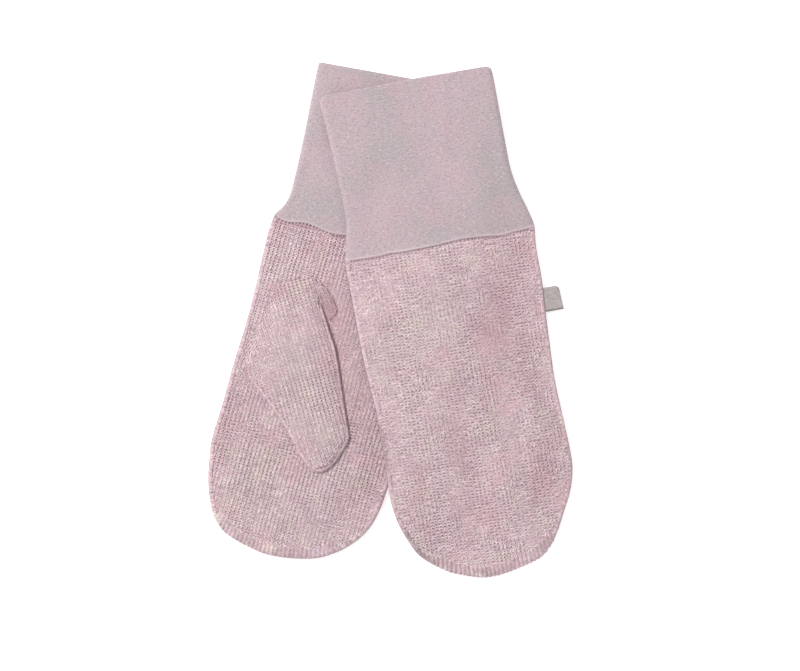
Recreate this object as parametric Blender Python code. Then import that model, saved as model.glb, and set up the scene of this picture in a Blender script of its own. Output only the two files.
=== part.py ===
"""A pair of child's mittens laid flat on a surface, the left one crossing over the right one.

The right-hand mitten lies palm up, with its thumb turned in across the palm. The left-hand
mitten lies back up on top of it, and its own thumb is folded in out of sight below its palm.
Each mitten is a back and a palm of wool knit, a thumb of two knit panels, and a long cuff of
doubled fine jersey. A small bare woven tab is caught in one side seam.

Metres, +Z up; the cloth lies on z = 0 with its cuffs towards +Y. The tables below are in
millimetres. Each mitten has a frame of its own: "along" runs from the cuff seam to the finger
tip, negative up the cuff, and "across" runs to the right as the mitten is seen from above.
"""

import math

import bmesh
import bpy
import numpy as np

MM = 0.001

# Cloth, in millimetres
KNIT = 1.5            # wall of the wool knit of the hands
THUMB_KNIT = 1.2      # wall of the thumbs, stretched a little thinner
JERSEY = 1.45         # wall of the cuffs, two layers of fine jersey folded at the wrist edge
GAP = 0.3             # between two pieces at a seam, and between two that lie on each other
HAND_EDGE = 0.6       # height of a hand panel's edge at the side seam
THUMB_EDGE = 0.5
EDGE_ROUND = 2.4      # how far in from the outline the rounded edge reaches
CROWN = 0.9           # how much the middle of a hand stands above its edges
CROWN_RUN = 25.0      # along the hand until the crown is full
CROWN_DEPTH = 30.0    # in from the side until the crown is full
THUMB_CROWN = 0.4
FLAT_HEIGHT = 2 * KNIT + GAP
CUFF_INSET = 1.6      # from a cuff's side fold to the end of the slit between its walls
WRIST_ROUND = 1.5     # how far down from the wrist edge its rounding reaches
WRIST_EASE = 0.5      # how much each wall thins at the wrist edge
SEAM_RIDGE = 0.25     # the ridge of the cuff just above its seam with the hand
SEAM_RIDGE_RUN = 2.5

# Where each mitten lies: the middle of its cuff seam, and how far it is turned, in degrees
RIGHT_MITTEN = {"x": -10.15, "y": 32.65, "turn": -16.6}
LEFT_MITTEN = {"x": 20.9, "y": 31.45, "turn": 10.3}

# The thumb's root in its mitten's frame, and its turn from the mitten's axis, in degrees
THUMB_TURN = 30.6
RIGHT_THUMB = {"across": -22.3, "along": 22.4}
LEFT_THUMB = {"across": -18.3, "along": 22.4}

# How the upper mitten comes down off the lower one, and off its own hidden thumb
DRAPE_MARGIN = 6.0
DRAPE_RUN = 32.0
THUMB_MARGIN = 3.0
THUMB_RUN = 24.0
HIDDEN_CLEARANCE = 0.6

# A row for each section: along, left edge, right edge, lean of the row in degrees, and how
# many strips of faces there are from this row to the next
RIGHT_CUFF = (
    (-71.4, -40.1, 32.2, 6.3, 1),
    (-70.0, -40.9, 33.0, 6.3, 1),
    (-55.0, -39.6, 34.0, 4.9, 1),
    (-38.0, -38.0, 35.0, 3.4, 1),
    (-22.0, -36.9, 35.9, 2.0, 1),
    (-11.0, -36.5, 36.6, 1.0, 1),
    (-6.0, -37.6, 37.9, 0.5, 1),
    (-2.5, -39.4, 39.5, 0.2, 2),
    (-0.15, -40.3, 40.3, 0.0, 1),
)
RIGHT_HAND = (
    (0.15, -40.3, 40.3, 0.0, 1),
    (8.0, -40.7, 40.4, 0.0, 1),
    (20.0, -40.0, 39.8, 0.0, 1),
    (35.0, -39.1, 39.2, 0.0, 1),
    (50.0, -38.7, 38.8, 0.0, 1),
    (66.0, -38.9, 38.5, 0.0, 1),
    (82.0, -38.5, 38.3, 0.0, 1),
    (97.0, -38.6, 38.2, 0.0, 1),
    (107.0, -37.1, 37.6, 0.0, 1),
    (116.0, -34.7, 35.2, 0.0, 2),
    (123.5, -31.6, 30.4, 0.0, 2),
    (129.8, -27.4, 23.6, 0.0, 2),
    (134.7, -20.2, 14.2, 0.0, 3),
    (137.7, -3.0, -3.0, 0.0, 1),
)
LEFT_CUFF = (
    (-70.0, -38.3, 33.6, 0.0, 1),
    (-68.5, -39.1, 34.4, 0.0, 1),
    (-55.0, -38.2, 34.6, 0.0, 2),
    (-38.0, -37.4, 34.6, 0.0, 1),
    (-26.0, -37.0, 34.9, 0.0, 1),
    (-17.0, -37.1, 36.5, 0.0, 1),
    (-9.0, -38.5, 38.8, 0.0, 1),
    (-3.0, -39.9, 40.3, 0.0, 2),
    (-0.15, -40.6, 40.6, 0.0, 1),
)
LEFT_HAND = (
    (0.15, -40.6, 40.5, 0.0, 1),
    (8.0, -40.8, 39.7, 0.0, 2),
    (22.0, -40.6, 39.6, 0.0, 2),
    (36.0, -40.5, 38.7, 0.0, 2),
    (50.0, -40.0, 38.0, 0.0, 2),
    (64.0, -38.9, 37.4, 0.0, 2),
    (78.0, -38.7, 37.8, 0.0, 2),
    (92.0, -39.2, 38.4, 0.0, 1),
    (102.0, -39.6, 38.1, 0.0, 1),
    (111.0, -38.4, 35.6, 0.0, 1),
    (119.0, -35.8, 31.6, 0.0, 1),
    (126.5, -32.1, 27.6, 0.0, 2),
    (132.8, -25.4, 23.0, 0.0, 2),
    (137.5, -17.2, 16.2, 0.0, 3),
    (141.1, -3.0, -3.0, 0.0, 1),
)
# The thumbs' panels, in the thumb's frame: the outer one is sewn to the palm from its top round
# its left shoulder, and the inner one starts below that, where the thumb leaves the palm
THUMB_OUTER = (
    (-0.5, -1.5, -1.5, 0.0, 2),
    (2.4, -10.6, 6.4, 0.0, 1),
    (7.0, -14.8, 7.6, 0.0, 1),
    (13.0, -19.4, 6.2, 0.0, 1),
    (20.2, -26.4, 6.5, 0.0, 1),
    (26.5, -30.6, 6.9, 0.0, 1),
    (32.5, -31.6, 7.3, 0.0, 1),
    (40.0, -28.8, 6.8, 0.0, 1),
    (50.0, -24.4, 5.9, 0.0, 1),
    (60.5, -20.8, 4.9, 0.0, 1),
    (70.0, -18.6, 4.0, 0.0, 1),
    (76.0, -16.5, 1.4, 0.0, 1),
    (80.0, -13.0, -3.6, 0.0, 2),
    (81.6, -8.6, -8.6, 0.0, 1),
)
THUMB_INNER = (
    (13.5, -2.5, -2.5, 0.0, 1),
    (16.0, -9.0, 4.4, 0.0, 1),
    (22.0, -15.4, 6.4, 0.0, 1),
    (28.0, -20.6, 6.9, 0.0, 1),
    (34.0, -26.4, 7.1, 0.0, 1),
    (40.0, -28.4, 6.8, 0.0, 1),
    (50.0, -24.4, 5.9, 0.0, 1),
    (60.5, -20.8, 4.9, 0.0, 1),
    (70.0, -18.6, 4.0, 0.0, 1),
    (76.0, -16.5, 1.4, 0.0, 1),
    (80.0, -13.0, -3.6, 0.0, 2),
    (81.6, -8.6, -8.6, 0.0, 1),
)
SEWN_TO = 28.0        # along the thumb to where its left side leaves the palm
ROOT_RUN = 8.0        # from the sewn edge until the outer panel lies on the inner one

# Fractions of a row's width at which its points lie, from the left edge to the middle
HAND_COLUMNS = (0.0, 0.006, 0.018, 0.04, 0.1, 0.2, 0.3, 0.4, 0.5)
THUMB_COLUMNS = (0.0, 0.02, 0.07, 0.24, 0.5)

# The woven tab in the left mitten's side seam, in that mitten's frame
TAB_ALONG = (26.2, 36.4)
TAB_SIDE = 39.7       # across, just outside the seam at its upper end
TAB_REACH = (6.2, 7.6)
TAB_SLANT = 1.0       # how much nearer the seam runs at the tab's lower end
TAB_THICK = 1.0
TAB_CORNER = 1.2

# Colours and roughness
FINISHES = {
    "wool_knit": ((0.605, 0.452, 0.479), 0.92),
    "fine_jersey": ((0.558, 0.456, 0.479), 0.88),
    "woven_tape": ((0.520, 0.480, 0.460), 0.75),
}


def round_over(t):
    """A quarter round: 0 at the edge and 1 from t = 1 inwards."""
    t = min(max(t, 0.0), 1.0)
    return math.sqrt(t * (2.0 - t))


def fall(t):
    """1 until t = 0, then easing to 0 at t = 1."""
    t = min(max(t, 0.0), 1.0)
    return 1.0 - t * t * (3.0 - 2.0 * t)


def rows_through(table):
    """Smooth rows through a table's rows. An end whose two edges meet is closed and round."""
    rows = np.array([row[:4] for row in table])
    crossed = [0, 2, 1, 3]
    first, last = 2 * rows[0] - rows[1], 2 * rows[-1] - rows[-2]
    if rows[0][1] == rows[0][2]:
        first = rows[1][crossed]
    if rows[-1][1] == rows[-1][2]:
        last = rows[-2][crossed]
    knots = np.vstack([first, rows, last])
    found = []
    for index, row in enumerate(table[:-1]):
        a, b, c, d = knots[index:index + 4]
        for step in range(row[4]):
            t = step / row[4]
            found.append(
                0.5 * (2 * b + (c - a) * t + (2 * a - 5 * b + 4 * c - d) * t ** 2
                       + (3 * b - a - 3 * c + d) * t ** 3)
            )
    found.append(rows[-1])
    return found


def point_on_row(row, share):
    """(across, along) at a share of the row's width from its left edge."""
    along, left, right, lean = row
    reach = left + share * (right - left)
    return (reach * math.cos(math.radians(lean)), along - reach * math.sin(math.radians(lean)))


def columns(half):
    return list(half) + [1.0 - share for share in reversed(half[:-1])]


def turned(across, along, turn):
    """World x and y, from a frame's origin, of a point in a frame turned by so many degrees."""
    c, s = math.cos(math.radians(turn)), math.sin(math.radians(turn))
    return across * c + along * s, across * s - along * c


def mitten_place(mitten):
    def place(across, along):
        x, y = turned(across, along, mitten["turn"])
        return mitten["x"] + x, mitten["y"] + y
    return place


def thumb_place(mitten, root):
    root_x, root_y = mitten_place(mitten)(root["across"], root["along"])

    def place(across, along):
        x, y = turned(across, along, mitten["turn"] + THUMB_TURN)
        return root_x + x, root_y + y
    return place


def along_of(mitten, x, y):
    """How far along a mitten's axis a world point lies."""
    turn = math.radians(mitten["turn"])
    return (x - mitten["x"]) * math.sin(turn) - (y - mitten["y"]) * math.cos(turn)


def edge_line(tables, place):
    """World points down the left edge of some tables' rows, round the tip and up the right."""
    rows = [row for table in tables for row in rows_through(table)]
    left = [place(*point_on_row(row, 0.0)) for row in rows]
    right = [place(*point_on_row(row, 1.0)) for row in rows]
    return np.array(left + right[::-1])


def distance_to(line, x, y):
    """Distance in plan from a point to an open line of points."""
    start, run = line[:-1], np.diff(line, axis=0)
    length = np.maximum((run ** 2).sum(axis=1), 1e-9)
    t = np.clip(((np.array([x, y]) - start) * run).sum(axis=1) / length, 0.0, 1.0)
    return np.hypot(*(start + run * t[:, None] - (x, y)).T).min()


def outside(line, x, y):
    """Distance from a point to a closed outline: positive outside it and negative inside."""
    ring = np.vstack([line, line[:1]])
    (ax, ay), (bx, by) = ring[:-1].T, ring[1:].T
    spans = (ay > y) != (by > y)
    crossing = ax[spans] + (y - ay[spans]) * (bx[spans] - ax[spans]) / (by[spans] - ay[spans])
    inside = (crossing > x).sum() % 2 == 1
    return distance_to(ring, x, y) * (-1.0 if inside else 1.0)


def crown_along(along):
    return CROWN * (1.0 - fall(along / CROWN_RUN))


def crown_at(depth, along):
    """Height that the knit of a hand gains towards its middle."""
    t = min(depth / CROWN_DEPTH, 1.0)
    return crown_along(along) * t * (2.0 - t)


def add_object(name, mesh_data, finish):
    obj = bpy.data.objects.new(name, mesh_data)
    COLLECTION.objects.link(obj)
    obj.parent = PARENT
    material = bpy.data.materials.new(f"{name}_{finish}")
    material.use_nodes = True
    colour, roughness = FINISHES[finish]
    shader = material.node_tree.nodes["Principled BSDF"]
    shader.inputs["Base Color"].default_value = (*colour, 1.0)
    shader.inputs["Roughness"].default_value = roughness
    mesh_data.materials.append(material)
    mesh_data.shade_smooth()
    mesh_data.set_sharp_from_angle(angle=math.radians(50))
    return obj


def mesh_of(name, mesh):
    bmesh.ops.recalc_face_normals(mesh, faces=mesh.faces)
    data = bpy.data.meshes.new(name)
    mesh.to_mesh(data)
    mesh.free()
    return data


def add_rows(mesh, rows, flip):
    """Vertices and faces of one skin. A row of one point closes an end with triangles."""
    verts = [[mesh.verts.new([value * MM for value in point]) for point in row] for row in rows]
    for upper, lower in zip(verts, verts[1:]):
        for i in range(max(len(upper), len(lower)) - 1):
            corners = [upper[min(i, len(upper) - 1)], lower[min(i, len(lower) - 1)],
                       lower[min(i + 1, len(lower) - 1)], upper[min(i + 1, len(upper) - 1)]]
            corners = list(dict.fromkeys(corners))
            mesh.faces.new([corners[0]] + corners[:0:-1] if flip else corners)
    return verts


def border(verts):
    """The outer vertices of a skin, in order round it."""
    right = [row[-1] for row in verts[1:-1]]
    left = [row[0] for row in verts[1:-1]]
    return verts[0] + right + verts[-1][::-1] + left[::-1]


def wall(name, under_rows, over_rows, finish):
    """A closed wall of cloth between an under skin and an over skin with the same layout."""
    mesh = bmesh.new()
    under = border(add_rows(mesh, under_rows, flip=True))
    over = border(add_rows(mesh, over_rows, flip=False))
    for i, vert in enumerate(under):
        after = (i + 1) % len(under)
        mesh.faces.new([vert, under[after], over[after], over[i]])
    return add_object(name, mesh_of(name, mesh), finish)


def tube(name, outer_rings, inner_rings, finish):
    """A closed wall round an open tube, from rings down its outside and its inside."""
    mesh = bmesh.new()
    outer = [[mesh.verts.new([v * MM for v in point]) for point in ring] for ring in outer_rings]
    inner = [[mesh.verts.new([v * MM for v in point]) for point in ring] for ring in inner_rings]
    count = len(outer[0])
    around = outer + inner[::-1]
    for ring, after in zip(around, around[1:] + around[:1]):
        for i in range(count):
            j = (i + 1) % count
            mesh.faces.new([ring[i], after[i], after[j], ring[j]])
    return add_object(name, mesh_of(name, mesh), finish)


def panel_rows(table, half_columns, place, height):
    """World points of one skin: height(x, y, along) gives each point's z."""
    rows = []
    for row in rows_through(table):
        shares = [0.5] if row[1] == row[2] else columns(half_columns)
        points = []
        for share in shares:
            across, along = point_on_row(row, share)
            x, y = place(across, along)
            points.append((x, y, height(x, y, along)))
        rows.append(points)
    return rows


def hand(lower_name, upper_name, table, mitten, base):
    """The two knit panels of one hand, lying on each other on the height that base gives."""
    place = mitten_place(mitten)
    edge = edge_line([table], place)

    def rounding(x, y):
        return round_over(distance_to(edge, x, y) / EDGE_ROUND)

    def lower_under(x, y, along):
        return base(x, y) + (KNIT - HAND_EDGE) * (1.0 - rounding(x, y))

    def lower_over(x, y, along):
        return base(x, y) + KNIT

    def upper_under(x, y, along):
        return base(x, y) + KNIT + GAP + crown_at(distance_to(edge, x, y), along)

    def upper_over(x, y, along):
        thickness = HAND_EDGE + (KNIT - HAND_EDGE) * rounding(x, y)
        return upper_under(x, y, along) + thickness

    skins = [panel_rows(table, HAND_COLUMNS, place, height)
             for height in (lower_under, lower_over, upper_under, upper_over)]
    wall(lower_name, skins[0], skins[1], "wool_knit")
    wall(upper_name, skins[2], skins[3], "wool_knit")
    return upper_over


def cuff(name, table, mitten, base):
    """A flattened tube of doubled jersey, open at the wrist and at the hand."""
    place = mitten_place(mitten)
    wrist, seam = table[0][0], table[-1][0]
    outer_rings, inner_rings = [], []
    for row in rows_through(table):
        along, left, right, lean = row
        ease = WRIST_EASE * (1.0 - round_over((along - wrist) / WRIST_ROUND))
        to_seam = (seam - along) / SEAM_RIDGE_RUN
        ridge = SEAM_RIDGE * math.sin(math.pi * min(to_seam, 1.0))
        slit = (along, left + CUFF_INSET, right - CUFF_INSET, lean)
        outer_low, outer_high, inner_low, inner_high = [], [], [], []
        for share in columns(HAND_COLUMNS):
            x, y = place(*point_on_row(row, share))
            depth = min(share, 1.0 - share) * (right - left)
            rise = (JERSEY - HAND_EDGE) * (1.0 - round_over(depth / EDGE_ROUND))
            level = base(x, y)
            outer_low.append((x, y, level + max(rise, ease)))
            outer_high.append((x, y, level + FLAT_HEIGHT - max(rise, ease) + ridge))
            x, y = place(*point_on_row(slit, share))
            inner_low.append((x, y, base(x, y) + JERSEY))
            inner_high.append((x, y, base(x, y) + FLAT_HEIGHT - JERSEY))
        outer_rings.append(outer_low + outer_high[::-1])
        inner_rings.append(inner_low + inner_high[::-1])
    return tube(name, outer_rings, inner_rings, "fine_jersey")


def thumb(inner_name, outer_name, mitten, root, base):
    """The two knit panels of one thumb, lying on the height that base gives."""
    place = thumb_place(mitten, root)
    edge = edge_line([THUMB_OUTER], place)
    inner_edge = edge_line([THUMB_INNER], place)
    sewn_rows = [row for row in rows_through(THUMB_OUTER) if row[0] <= SEWN_TO]
    sewn = np.array([place(row[2], row[0]) for row in sewn_rows[3:0:-1]]
                    + [place(row[1], row[0]) for row in sewn_rows])

    def inner_under(x, y, along):
        rounding = round_over(distance_to(inner_edge, x, y) / EDGE_ROUND)
        return base(x, y) + (THUMB_KNIT - THUMB_EDGE) * (1.0 - rounding)

    def inner_over(x, y, along):
        return base(x, y) + THUMB_KNIT

    def outer_under(x, y, along):
        lift = (THUMB_KNIT + GAP) * (1.0 - fall(distance_to(sewn, x, y) / ROOT_RUN))
        t = min(distance_to(edge, x, y) / CROWN_DEPTH * 3.0, 1.0)
        return base(x, y) + lift + THUMB_CROWN * t * (2.0 - t)

    def outer_over(x, y, along):
        rounding = round_over(distance_to(edge, x, y) / EDGE_ROUND)
        return outer_under(x, y, along) + THUMB_EDGE + (THUMB_KNIT - THUMB_EDGE) * rounding

    wall(inner_name, panel_rows(THUMB_INNER, THUMB_COLUMNS, place, inner_under),
         panel_rows(THUMB_INNER, THUMB_COLUMNS, place, inner_over), "wool_knit")
    wall(outer_name, panel_rows(THUMB_OUTER, THUMB_COLUMNS, place, outer_under),
         panel_rows(THUMB_OUTER, THUMB_COLUMNS, place, outer_over), "wool_knit")
    return edge


def tab(name, mitten, base):
    """The folded woven tape in the side seam: a flat outline with a rounded fold outside."""
    place = mitten_place(mitten)
    start, end = TAB_ALONG
    near = (TAB_SIDE, TAB_SIDE - TAB_SLANT)
    outline = [(near[0], start), (near[0] + TAB_REACH[0] - TAB_CORNER, start)]
    for step in range(1, 5):
        angle = math.radians(90.0 * step / 4)
        outline.append((near[0] + TAB_REACH[0] - TAB_CORNER * (1.0 - math.sin(angle)),
                        start + TAB_CORNER * (1.0 - math.cos(angle))))
    outline += [(near[0] + TAB_REACH[1], end), (near[1], end)]
    middle = KNIT + GAP / 2
    curve = bpy.data.curves.new(name, "CURVE")
    curve.dimensions = "2D"
    curve.fill_mode = "BOTH"
    curve.extrude = TAB_THICK / 2 * MM
    spline = curve.splines.new("POLY")
    spline.points.add(len(outline) - 1)
    for point, (across, along) in zip(spline.points, outline):
        x, y = place(across, along)
        point.co = (x * MM, y * MM, 0.0, 1.0)
    spline.use_cyclic_u = True
    guide = bpy.data.objects.new(f"{name}_outline", curve)
    COLLECTION.objects.link(guide)
    bpy.context.view_layer.update()
    flat = bpy.data.meshes.new_from_object(guide.evaluated_get(
        bpy.context.evaluated_depsgraph_get()))
    bpy.data.objects.remove(guide)
    mesh = bmesh.new()
    mesh.from_mesh(flat)
    bpy.data.meshes.remove(flat)
    bmesh.ops.remove_doubles(mesh, verts=mesh.verts, dist=1e-6)
    x, y = place(near[0], (start + end) / 2)
    bmesh.ops.translate(mesh, verts=mesh.verts, vec=(0.0, 0.0, (middle + base(x, y)) * MM))
    return add_object(name, mesh_of(name, mesh), "woven_tape")


def table_top(x, y):
    return 0.0


def build():
    right_place = mitten_place(RIGHT_MITTEN)
    right_outline = edge_line([RIGHT_CUFF, RIGHT_HAND], right_place)

    def over_right(x, y):
        """The upper mitten's underside: across the lower one, then eased down to the table."""
        height = FLAT_HEIGHT + crown_along(along_of(RIGHT_MITTEN, x, y)) + GAP
        return height * fall((outside(right_outline, x, y) - DRAPE_MARGIN) / DRAPE_RUN)

    cuff("right_cuff", RIGHT_CUFF, RIGHT_MITTEN, table_top)
    palm_top = hand("right_hand_back", "right_hand_palm", RIGHT_HAND, RIGHT_MITTEN, table_top)

    def on_palm(x, y):
        return palm_top(x, y, along_of(RIGHT_MITTEN, x, y)) + GAP

    thumb("right_thumb_inner", "right_thumb_outer", RIGHT_MITTEN, RIGHT_THUMB, on_palm)

    thumb_outline = thumb("left_thumb_outer", "left_thumb_inner", LEFT_MITTEN, LEFT_THUMB,
                          over_right)
    thumb_height = 2 * THUMB_KNIT + THUMB_CROWN + GAP + HIDDEN_CLEARANCE

    def over_thumb(x, y):
        """The left palm's underside, which also passes over its own hidden thumb."""
        beyond = (outside(thumb_outline, x, y) - THUMB_MARGIN) / THUMB_RUN
        return over_right(x, y) + thumb_height * fall(beyond)

    hand("left_hand_palm", "left_hand_back", LEFT_HAND, LEFT_MITTEN, over_thumb)
    cuff("left_cuff", LEFT_CUFF, LEFT_MITTEN, over_thumb)
    tab("side_tab", LEFT_MITTEN, over_thumb)


for old in list(bpy.data.objects):
    bpy.data.objects.remove(old)
COLLECTION = bpy.data.collections.new("pair_of_mittens")
bpy.context.scene.collection.children.link(COLLECTION)
PARENT = bpy.data.objects.new("mittens_origin", None)
COLLECTION.objects.link(PARENT)
build()
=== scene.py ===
# %% [markdown]
# # A pair of child's mittens laid flat
#
# The pair lies on a pale table, the left mitten crossing over the right one. Each mitten is
# open wool knit with a long cuff of doubled fine jersey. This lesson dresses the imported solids:
# every panel becomes a thin shell of cloth with its soft creases, and the knit is made of real
# loops of yarn, laid on the shells by Geometry Nodes.

# %% Load the frame
import math

import bmesh
import bpy
import numpy as np
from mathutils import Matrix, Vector


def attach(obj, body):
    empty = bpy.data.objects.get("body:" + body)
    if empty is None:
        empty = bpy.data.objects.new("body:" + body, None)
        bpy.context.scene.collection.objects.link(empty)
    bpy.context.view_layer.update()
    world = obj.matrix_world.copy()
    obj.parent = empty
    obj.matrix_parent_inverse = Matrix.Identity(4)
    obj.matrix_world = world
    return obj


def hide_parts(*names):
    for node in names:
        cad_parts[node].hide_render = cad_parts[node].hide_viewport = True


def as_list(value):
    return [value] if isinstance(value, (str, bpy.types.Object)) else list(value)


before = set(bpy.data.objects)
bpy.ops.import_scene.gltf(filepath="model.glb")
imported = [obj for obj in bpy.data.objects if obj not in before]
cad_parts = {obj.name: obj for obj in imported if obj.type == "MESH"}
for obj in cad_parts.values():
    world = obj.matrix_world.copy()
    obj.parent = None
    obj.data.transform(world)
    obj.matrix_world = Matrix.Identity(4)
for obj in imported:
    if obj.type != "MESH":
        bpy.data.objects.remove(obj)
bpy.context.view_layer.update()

print("solids to dress:", ", ".join(sorted(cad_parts)))

# %% [markdown]
# ## Sizes
#
# The solids are plain, but their sizes are the maker's sizes, so the shells start from the same
# values, in millimetres. Each mitten has a frame of its own: "along" runs from the cuff seam to
# the finger tip, negative up the cuff, and "across" runs to the right as seen from above. A
# table has a row for each section of a pattern piece.

# %% Sizes of the cloth
MM = 0.001
KNIT = 1.5            # wall of the wool knit of the hands, with its loops
THUMB_KNIT = 1.2
JERSEY = 1.45         # wall of the cuffs, two layers of fine jersey
GAP = 0.3             # between two panels that lie on each other
HAND_EDGE = 0.6
THUMB_EDGE = 0.5
EDGE_ROUND = 2.4
CROWN, CROWN_RUN, CROWN_DEPTH = 0.9, 25.0, 30.0
THUMB_CROWN, THUMB_CROWN_DEPTH = 0.4, 10.0
FLAT_HEIGHT = 2 * KNIT + GAP
WRIST_ROUND = 1.5
SEAM_RIDGE, SEAM_RIDGE_RUN = 0.36, 1.4
YARN_DEPTH = 0.35     # how deep the skin lies below the top of the loops
RIM_INSET = 0.12      # how far inside the outline the skin ends, for the ribs on it
SEWN_TO, ROOT_RUN = 28.0, 8.0
DRAPE_MARGIN, DRAPE_RUN = 6.0, 32.0
THUMB_MARGIN, THUMB_RUN, HIDDEN_CLEARANCE = 3.0, 24.0, 0.6
THINNEST = 0.1        # no shell is thinner than this
print(f"a closed hand is {FLAT_HEIGHT:.1f} mm thick, and a cuff's walls {JERSEY} mm each")

RIGHT_MITTEN = {"x": -10.15, "y": 32.65, "turn": -16.6}
LEFT_MITTEN = {"x": 20.9, "y": 31.45, "turn": 10.3}
THUMB_TURN = 30.6
RIGHT_THUMB = {"across": -22.3, "along": 22.4}
LEFT_THUMB = {"across": -18.3, "along": 22.4}

# %% Sections of the pieces: along, left edge, right edge, and degrees where the rows lean
RIGHT_CUFF = (
    (-71.4, -40.1, 32.2, 6.3),
    (-70.0, -40.9, 33.0, 6.3),
    (-55.0, -39.6, 34.0, 4.9),
    (-38.0, -38.0, 35.0, 3.4),
    (-22.0, -36.9, 35.9, 2.0),
    (-11.0, -36.5, 36.6, 1.0),
    (-6.0, -37.6, 37.9, 0.5),
    (-2.5, -39.4, 39.5, 0.2),
    (-0.15, -40.3, 40.3, 0.0),
)
RIGHT_HAND = (        # its first row lies under the cuff's seam, as a seam allowance
    (-0.5, -40.0, 40.0),
    (0.3, -40.3, 40.3),
    (8.0, -40.7, 40.4),
    (20.0, -40.0, 39.8),
    (35.0, -39.1, 39.2),
    (50.0, -38.7, 38.8),
    (66.0, -38.9, 38.5),
    (82.0, -38.5, 38.3),
    (97.0, -38.6, 38.2),
    (107.0, -37.1, 37.6),
    (116.0, -34.7, 35.2),
    (123.5, -31.6, 30.4),
    (129.8, -27.4, 23.6),
    (134.7, -20.2, 14.2),
    (137.7, -3.0, -3.0),
)
LEFT_CUFF = (
    (-70.0, -36.4, 32.9),
    (-69.3, -38.0, 34.0),
    (-67.4, -39.0, 34.5),
    (-55.0, -38.2, 34.6),
    (-38.0, -37.4, 34.6),
    (-26.0, -37.0, 34.9),
    (-17.0, -37.1, 36.5),
    (-9.0, -38.5, 38.8),
    (-3.0, -39.9, 40.3),
    (-0.15, -40.6, 40.6),
)
LEFT_HAND = (
    (-0.5, -40.2, 40.2),
    (0.3, -40.6, 40.5),
    (8.0, -40.8, 39.7),
    (22.0, -40.6, 39.6),
    (36.0, -40.5, 38.7),
    (50.0, -40.0, 38.0),
    (64.0, -38.9, 37.4),
    (78.0, -38.7, 37.8),
    (92.0, -39.2, 38.4),
    (102.0, -39.6, 38.1),
    (111.0, -38.4, 35.6),
    (119.0, -35.8, 31.6),
    (126.5, -32.1, 27.6),
    (132.8, -25.4, 23.0),
    (137.5, -17.2, 16.2),
    (141.1, -3.0, -3.0),
)
THUMB_OUTER = (
    (-0.5, -1.5, -1.5),
    (2.4, -10.6, 6.4),
    (7.0, -14.8, 7.6),
    (13.0, -19.4, 6.2),
    (20.2, -26.4, 6.5),
    (26.5, -30.6, 6.9),
    (32.5, -31.6, 7.3),
    (40.0, -28.8, 6.8),
    (50.0, -24.4, 5.9),
    (60.5, -20.8, 4.9),
    (69.4, -18.7, 4.1),
    (71.4, -18.2, 3.1),
    (75.6, -16.6, -1.0),
    (78.8, -14.9, -4.6),
    (80.6, -12.8, -7.9),
    (81.1, -10.6, -10.6),
)
THUMB_INNER = (
    (13.5, -2.5, -2.5),
    (16.0, -9.0, 4.4),
    (22.0, -15.4, 6.4),
    (28.0, -20.6, 6.9),
    (34.0, -26.4, 7.1),
) + THUMB_OUTER[7:]
print("hands from cuff to tip, mm:", RIGHT_HAND[-1][0], "and", LEFT_HAND[-1][0])

# %% [markdown]
# ## Creases
#
# Cloth that has been worn and laid down is never flat. The photograph's light shows broad soft
# troughs and ridges, well under a millimetre deep. A cloth simulation would give even ripples
# that nobody placed, so each crease here is a row in a table: where it starts and ends in its
# mitten's frame, how wide it is, and how high, with a trough below nought. The hidden sides get
# creases of the same kind.

# %% Creases: across and along at its start and at its end, half width, height
LEFT_BACK_CREASES = (
    (-10.1, 52.0, -7.8, 71.1, 5.0, -0.30),
    (-7.8, 71.1, -0.1, 89.6, 4.4, -0.42),
    (-0.1, 89.6, 2.0, 113.0, 5.2, -0.36),
    (3.4, 70.0, 6.0, 82.0, 4.6, 0.34),
    (6.0, 82.0, 11.0, 99.0, 5.0, 0.36),
    (11.0, 99.0, 10.0, 125.0, 6.2, 0.30),
    (-1.0, 44.5, 13.1, 40.8, 4.6, -0.34),
    (13.1, 40.8, 22.0, 24.0, 6.0, -0.30),
    (22.0, 24.0, 35.0, 19.5, 5.2, -0.30),
    (-16.0, 29.0, -5.0, 36.5, 5.5, 0.28),
    (-31.8, 101.0, -31.0, 76.0, 4.0, 0.26),
    (31.5, 44.0, 33.0, 72.0, 4.8, -0.30),
    (29.0, 88.0, 24.0, 112.0, 4.6, -0.34),
    (-24.0, 60.0, -20.0, 96.0, 7.0, 0.18),
)
RIGHT_PALM_CREASES = (
    (-33.0, 82.0, -12.0, 90.5, 4.6, -0.38),
    (-12.0, 90.5, 4.0, 92.0, 5.0, -0.24),
    (-29.5, 119.0, -19.0, 127.0, 3.2, -0.34),
    (33.0, 86.0, 32.3, 100.0, 3.8, -0.34),
    (23.3, 101.7, 37.3, 101.9, 2.8, -0.34),
    (19.9, 87.3, 31.0, 80.5, 2.8, -0.34),
    (24.0, 94.0, 36.0, 91.5, 2.6, 0.22),
    (14.0, 34.0, 18.0, 66.0, 3.4, -0.22),
    (31.0, 106.0, 22.0, 124.0, 4.6, -0.46),
    (2.0, 121.0, 14.0, 112.0, 6.2, 0.32),
    (-35.0, 8.0, -34.0, 30.0, 3.4, 0.28),
    (-22.0, 8.0, -6.0, 15.0, 4.2, -0.26),
    (-27.0, 103.0, -20.0, 112.0, 5.0, 0.26),
    (10.0, 60.0, 17.0, 96.0, 6.0, 0.22),
)
RIGHT_BACK_DENTS = (
    (-22.0, 40.0, -10.0, 66.0, 5.2, 0.34),
    (8.0, 76.0, 24.0, 98.0, 4.4, 0.40),
    (-16.0, 112.0, 2.0, 106.0, 5.0, 0.30),
    (18.0, 20.0, 27.0, 44.0, 4.0, 0.26),
)
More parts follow.
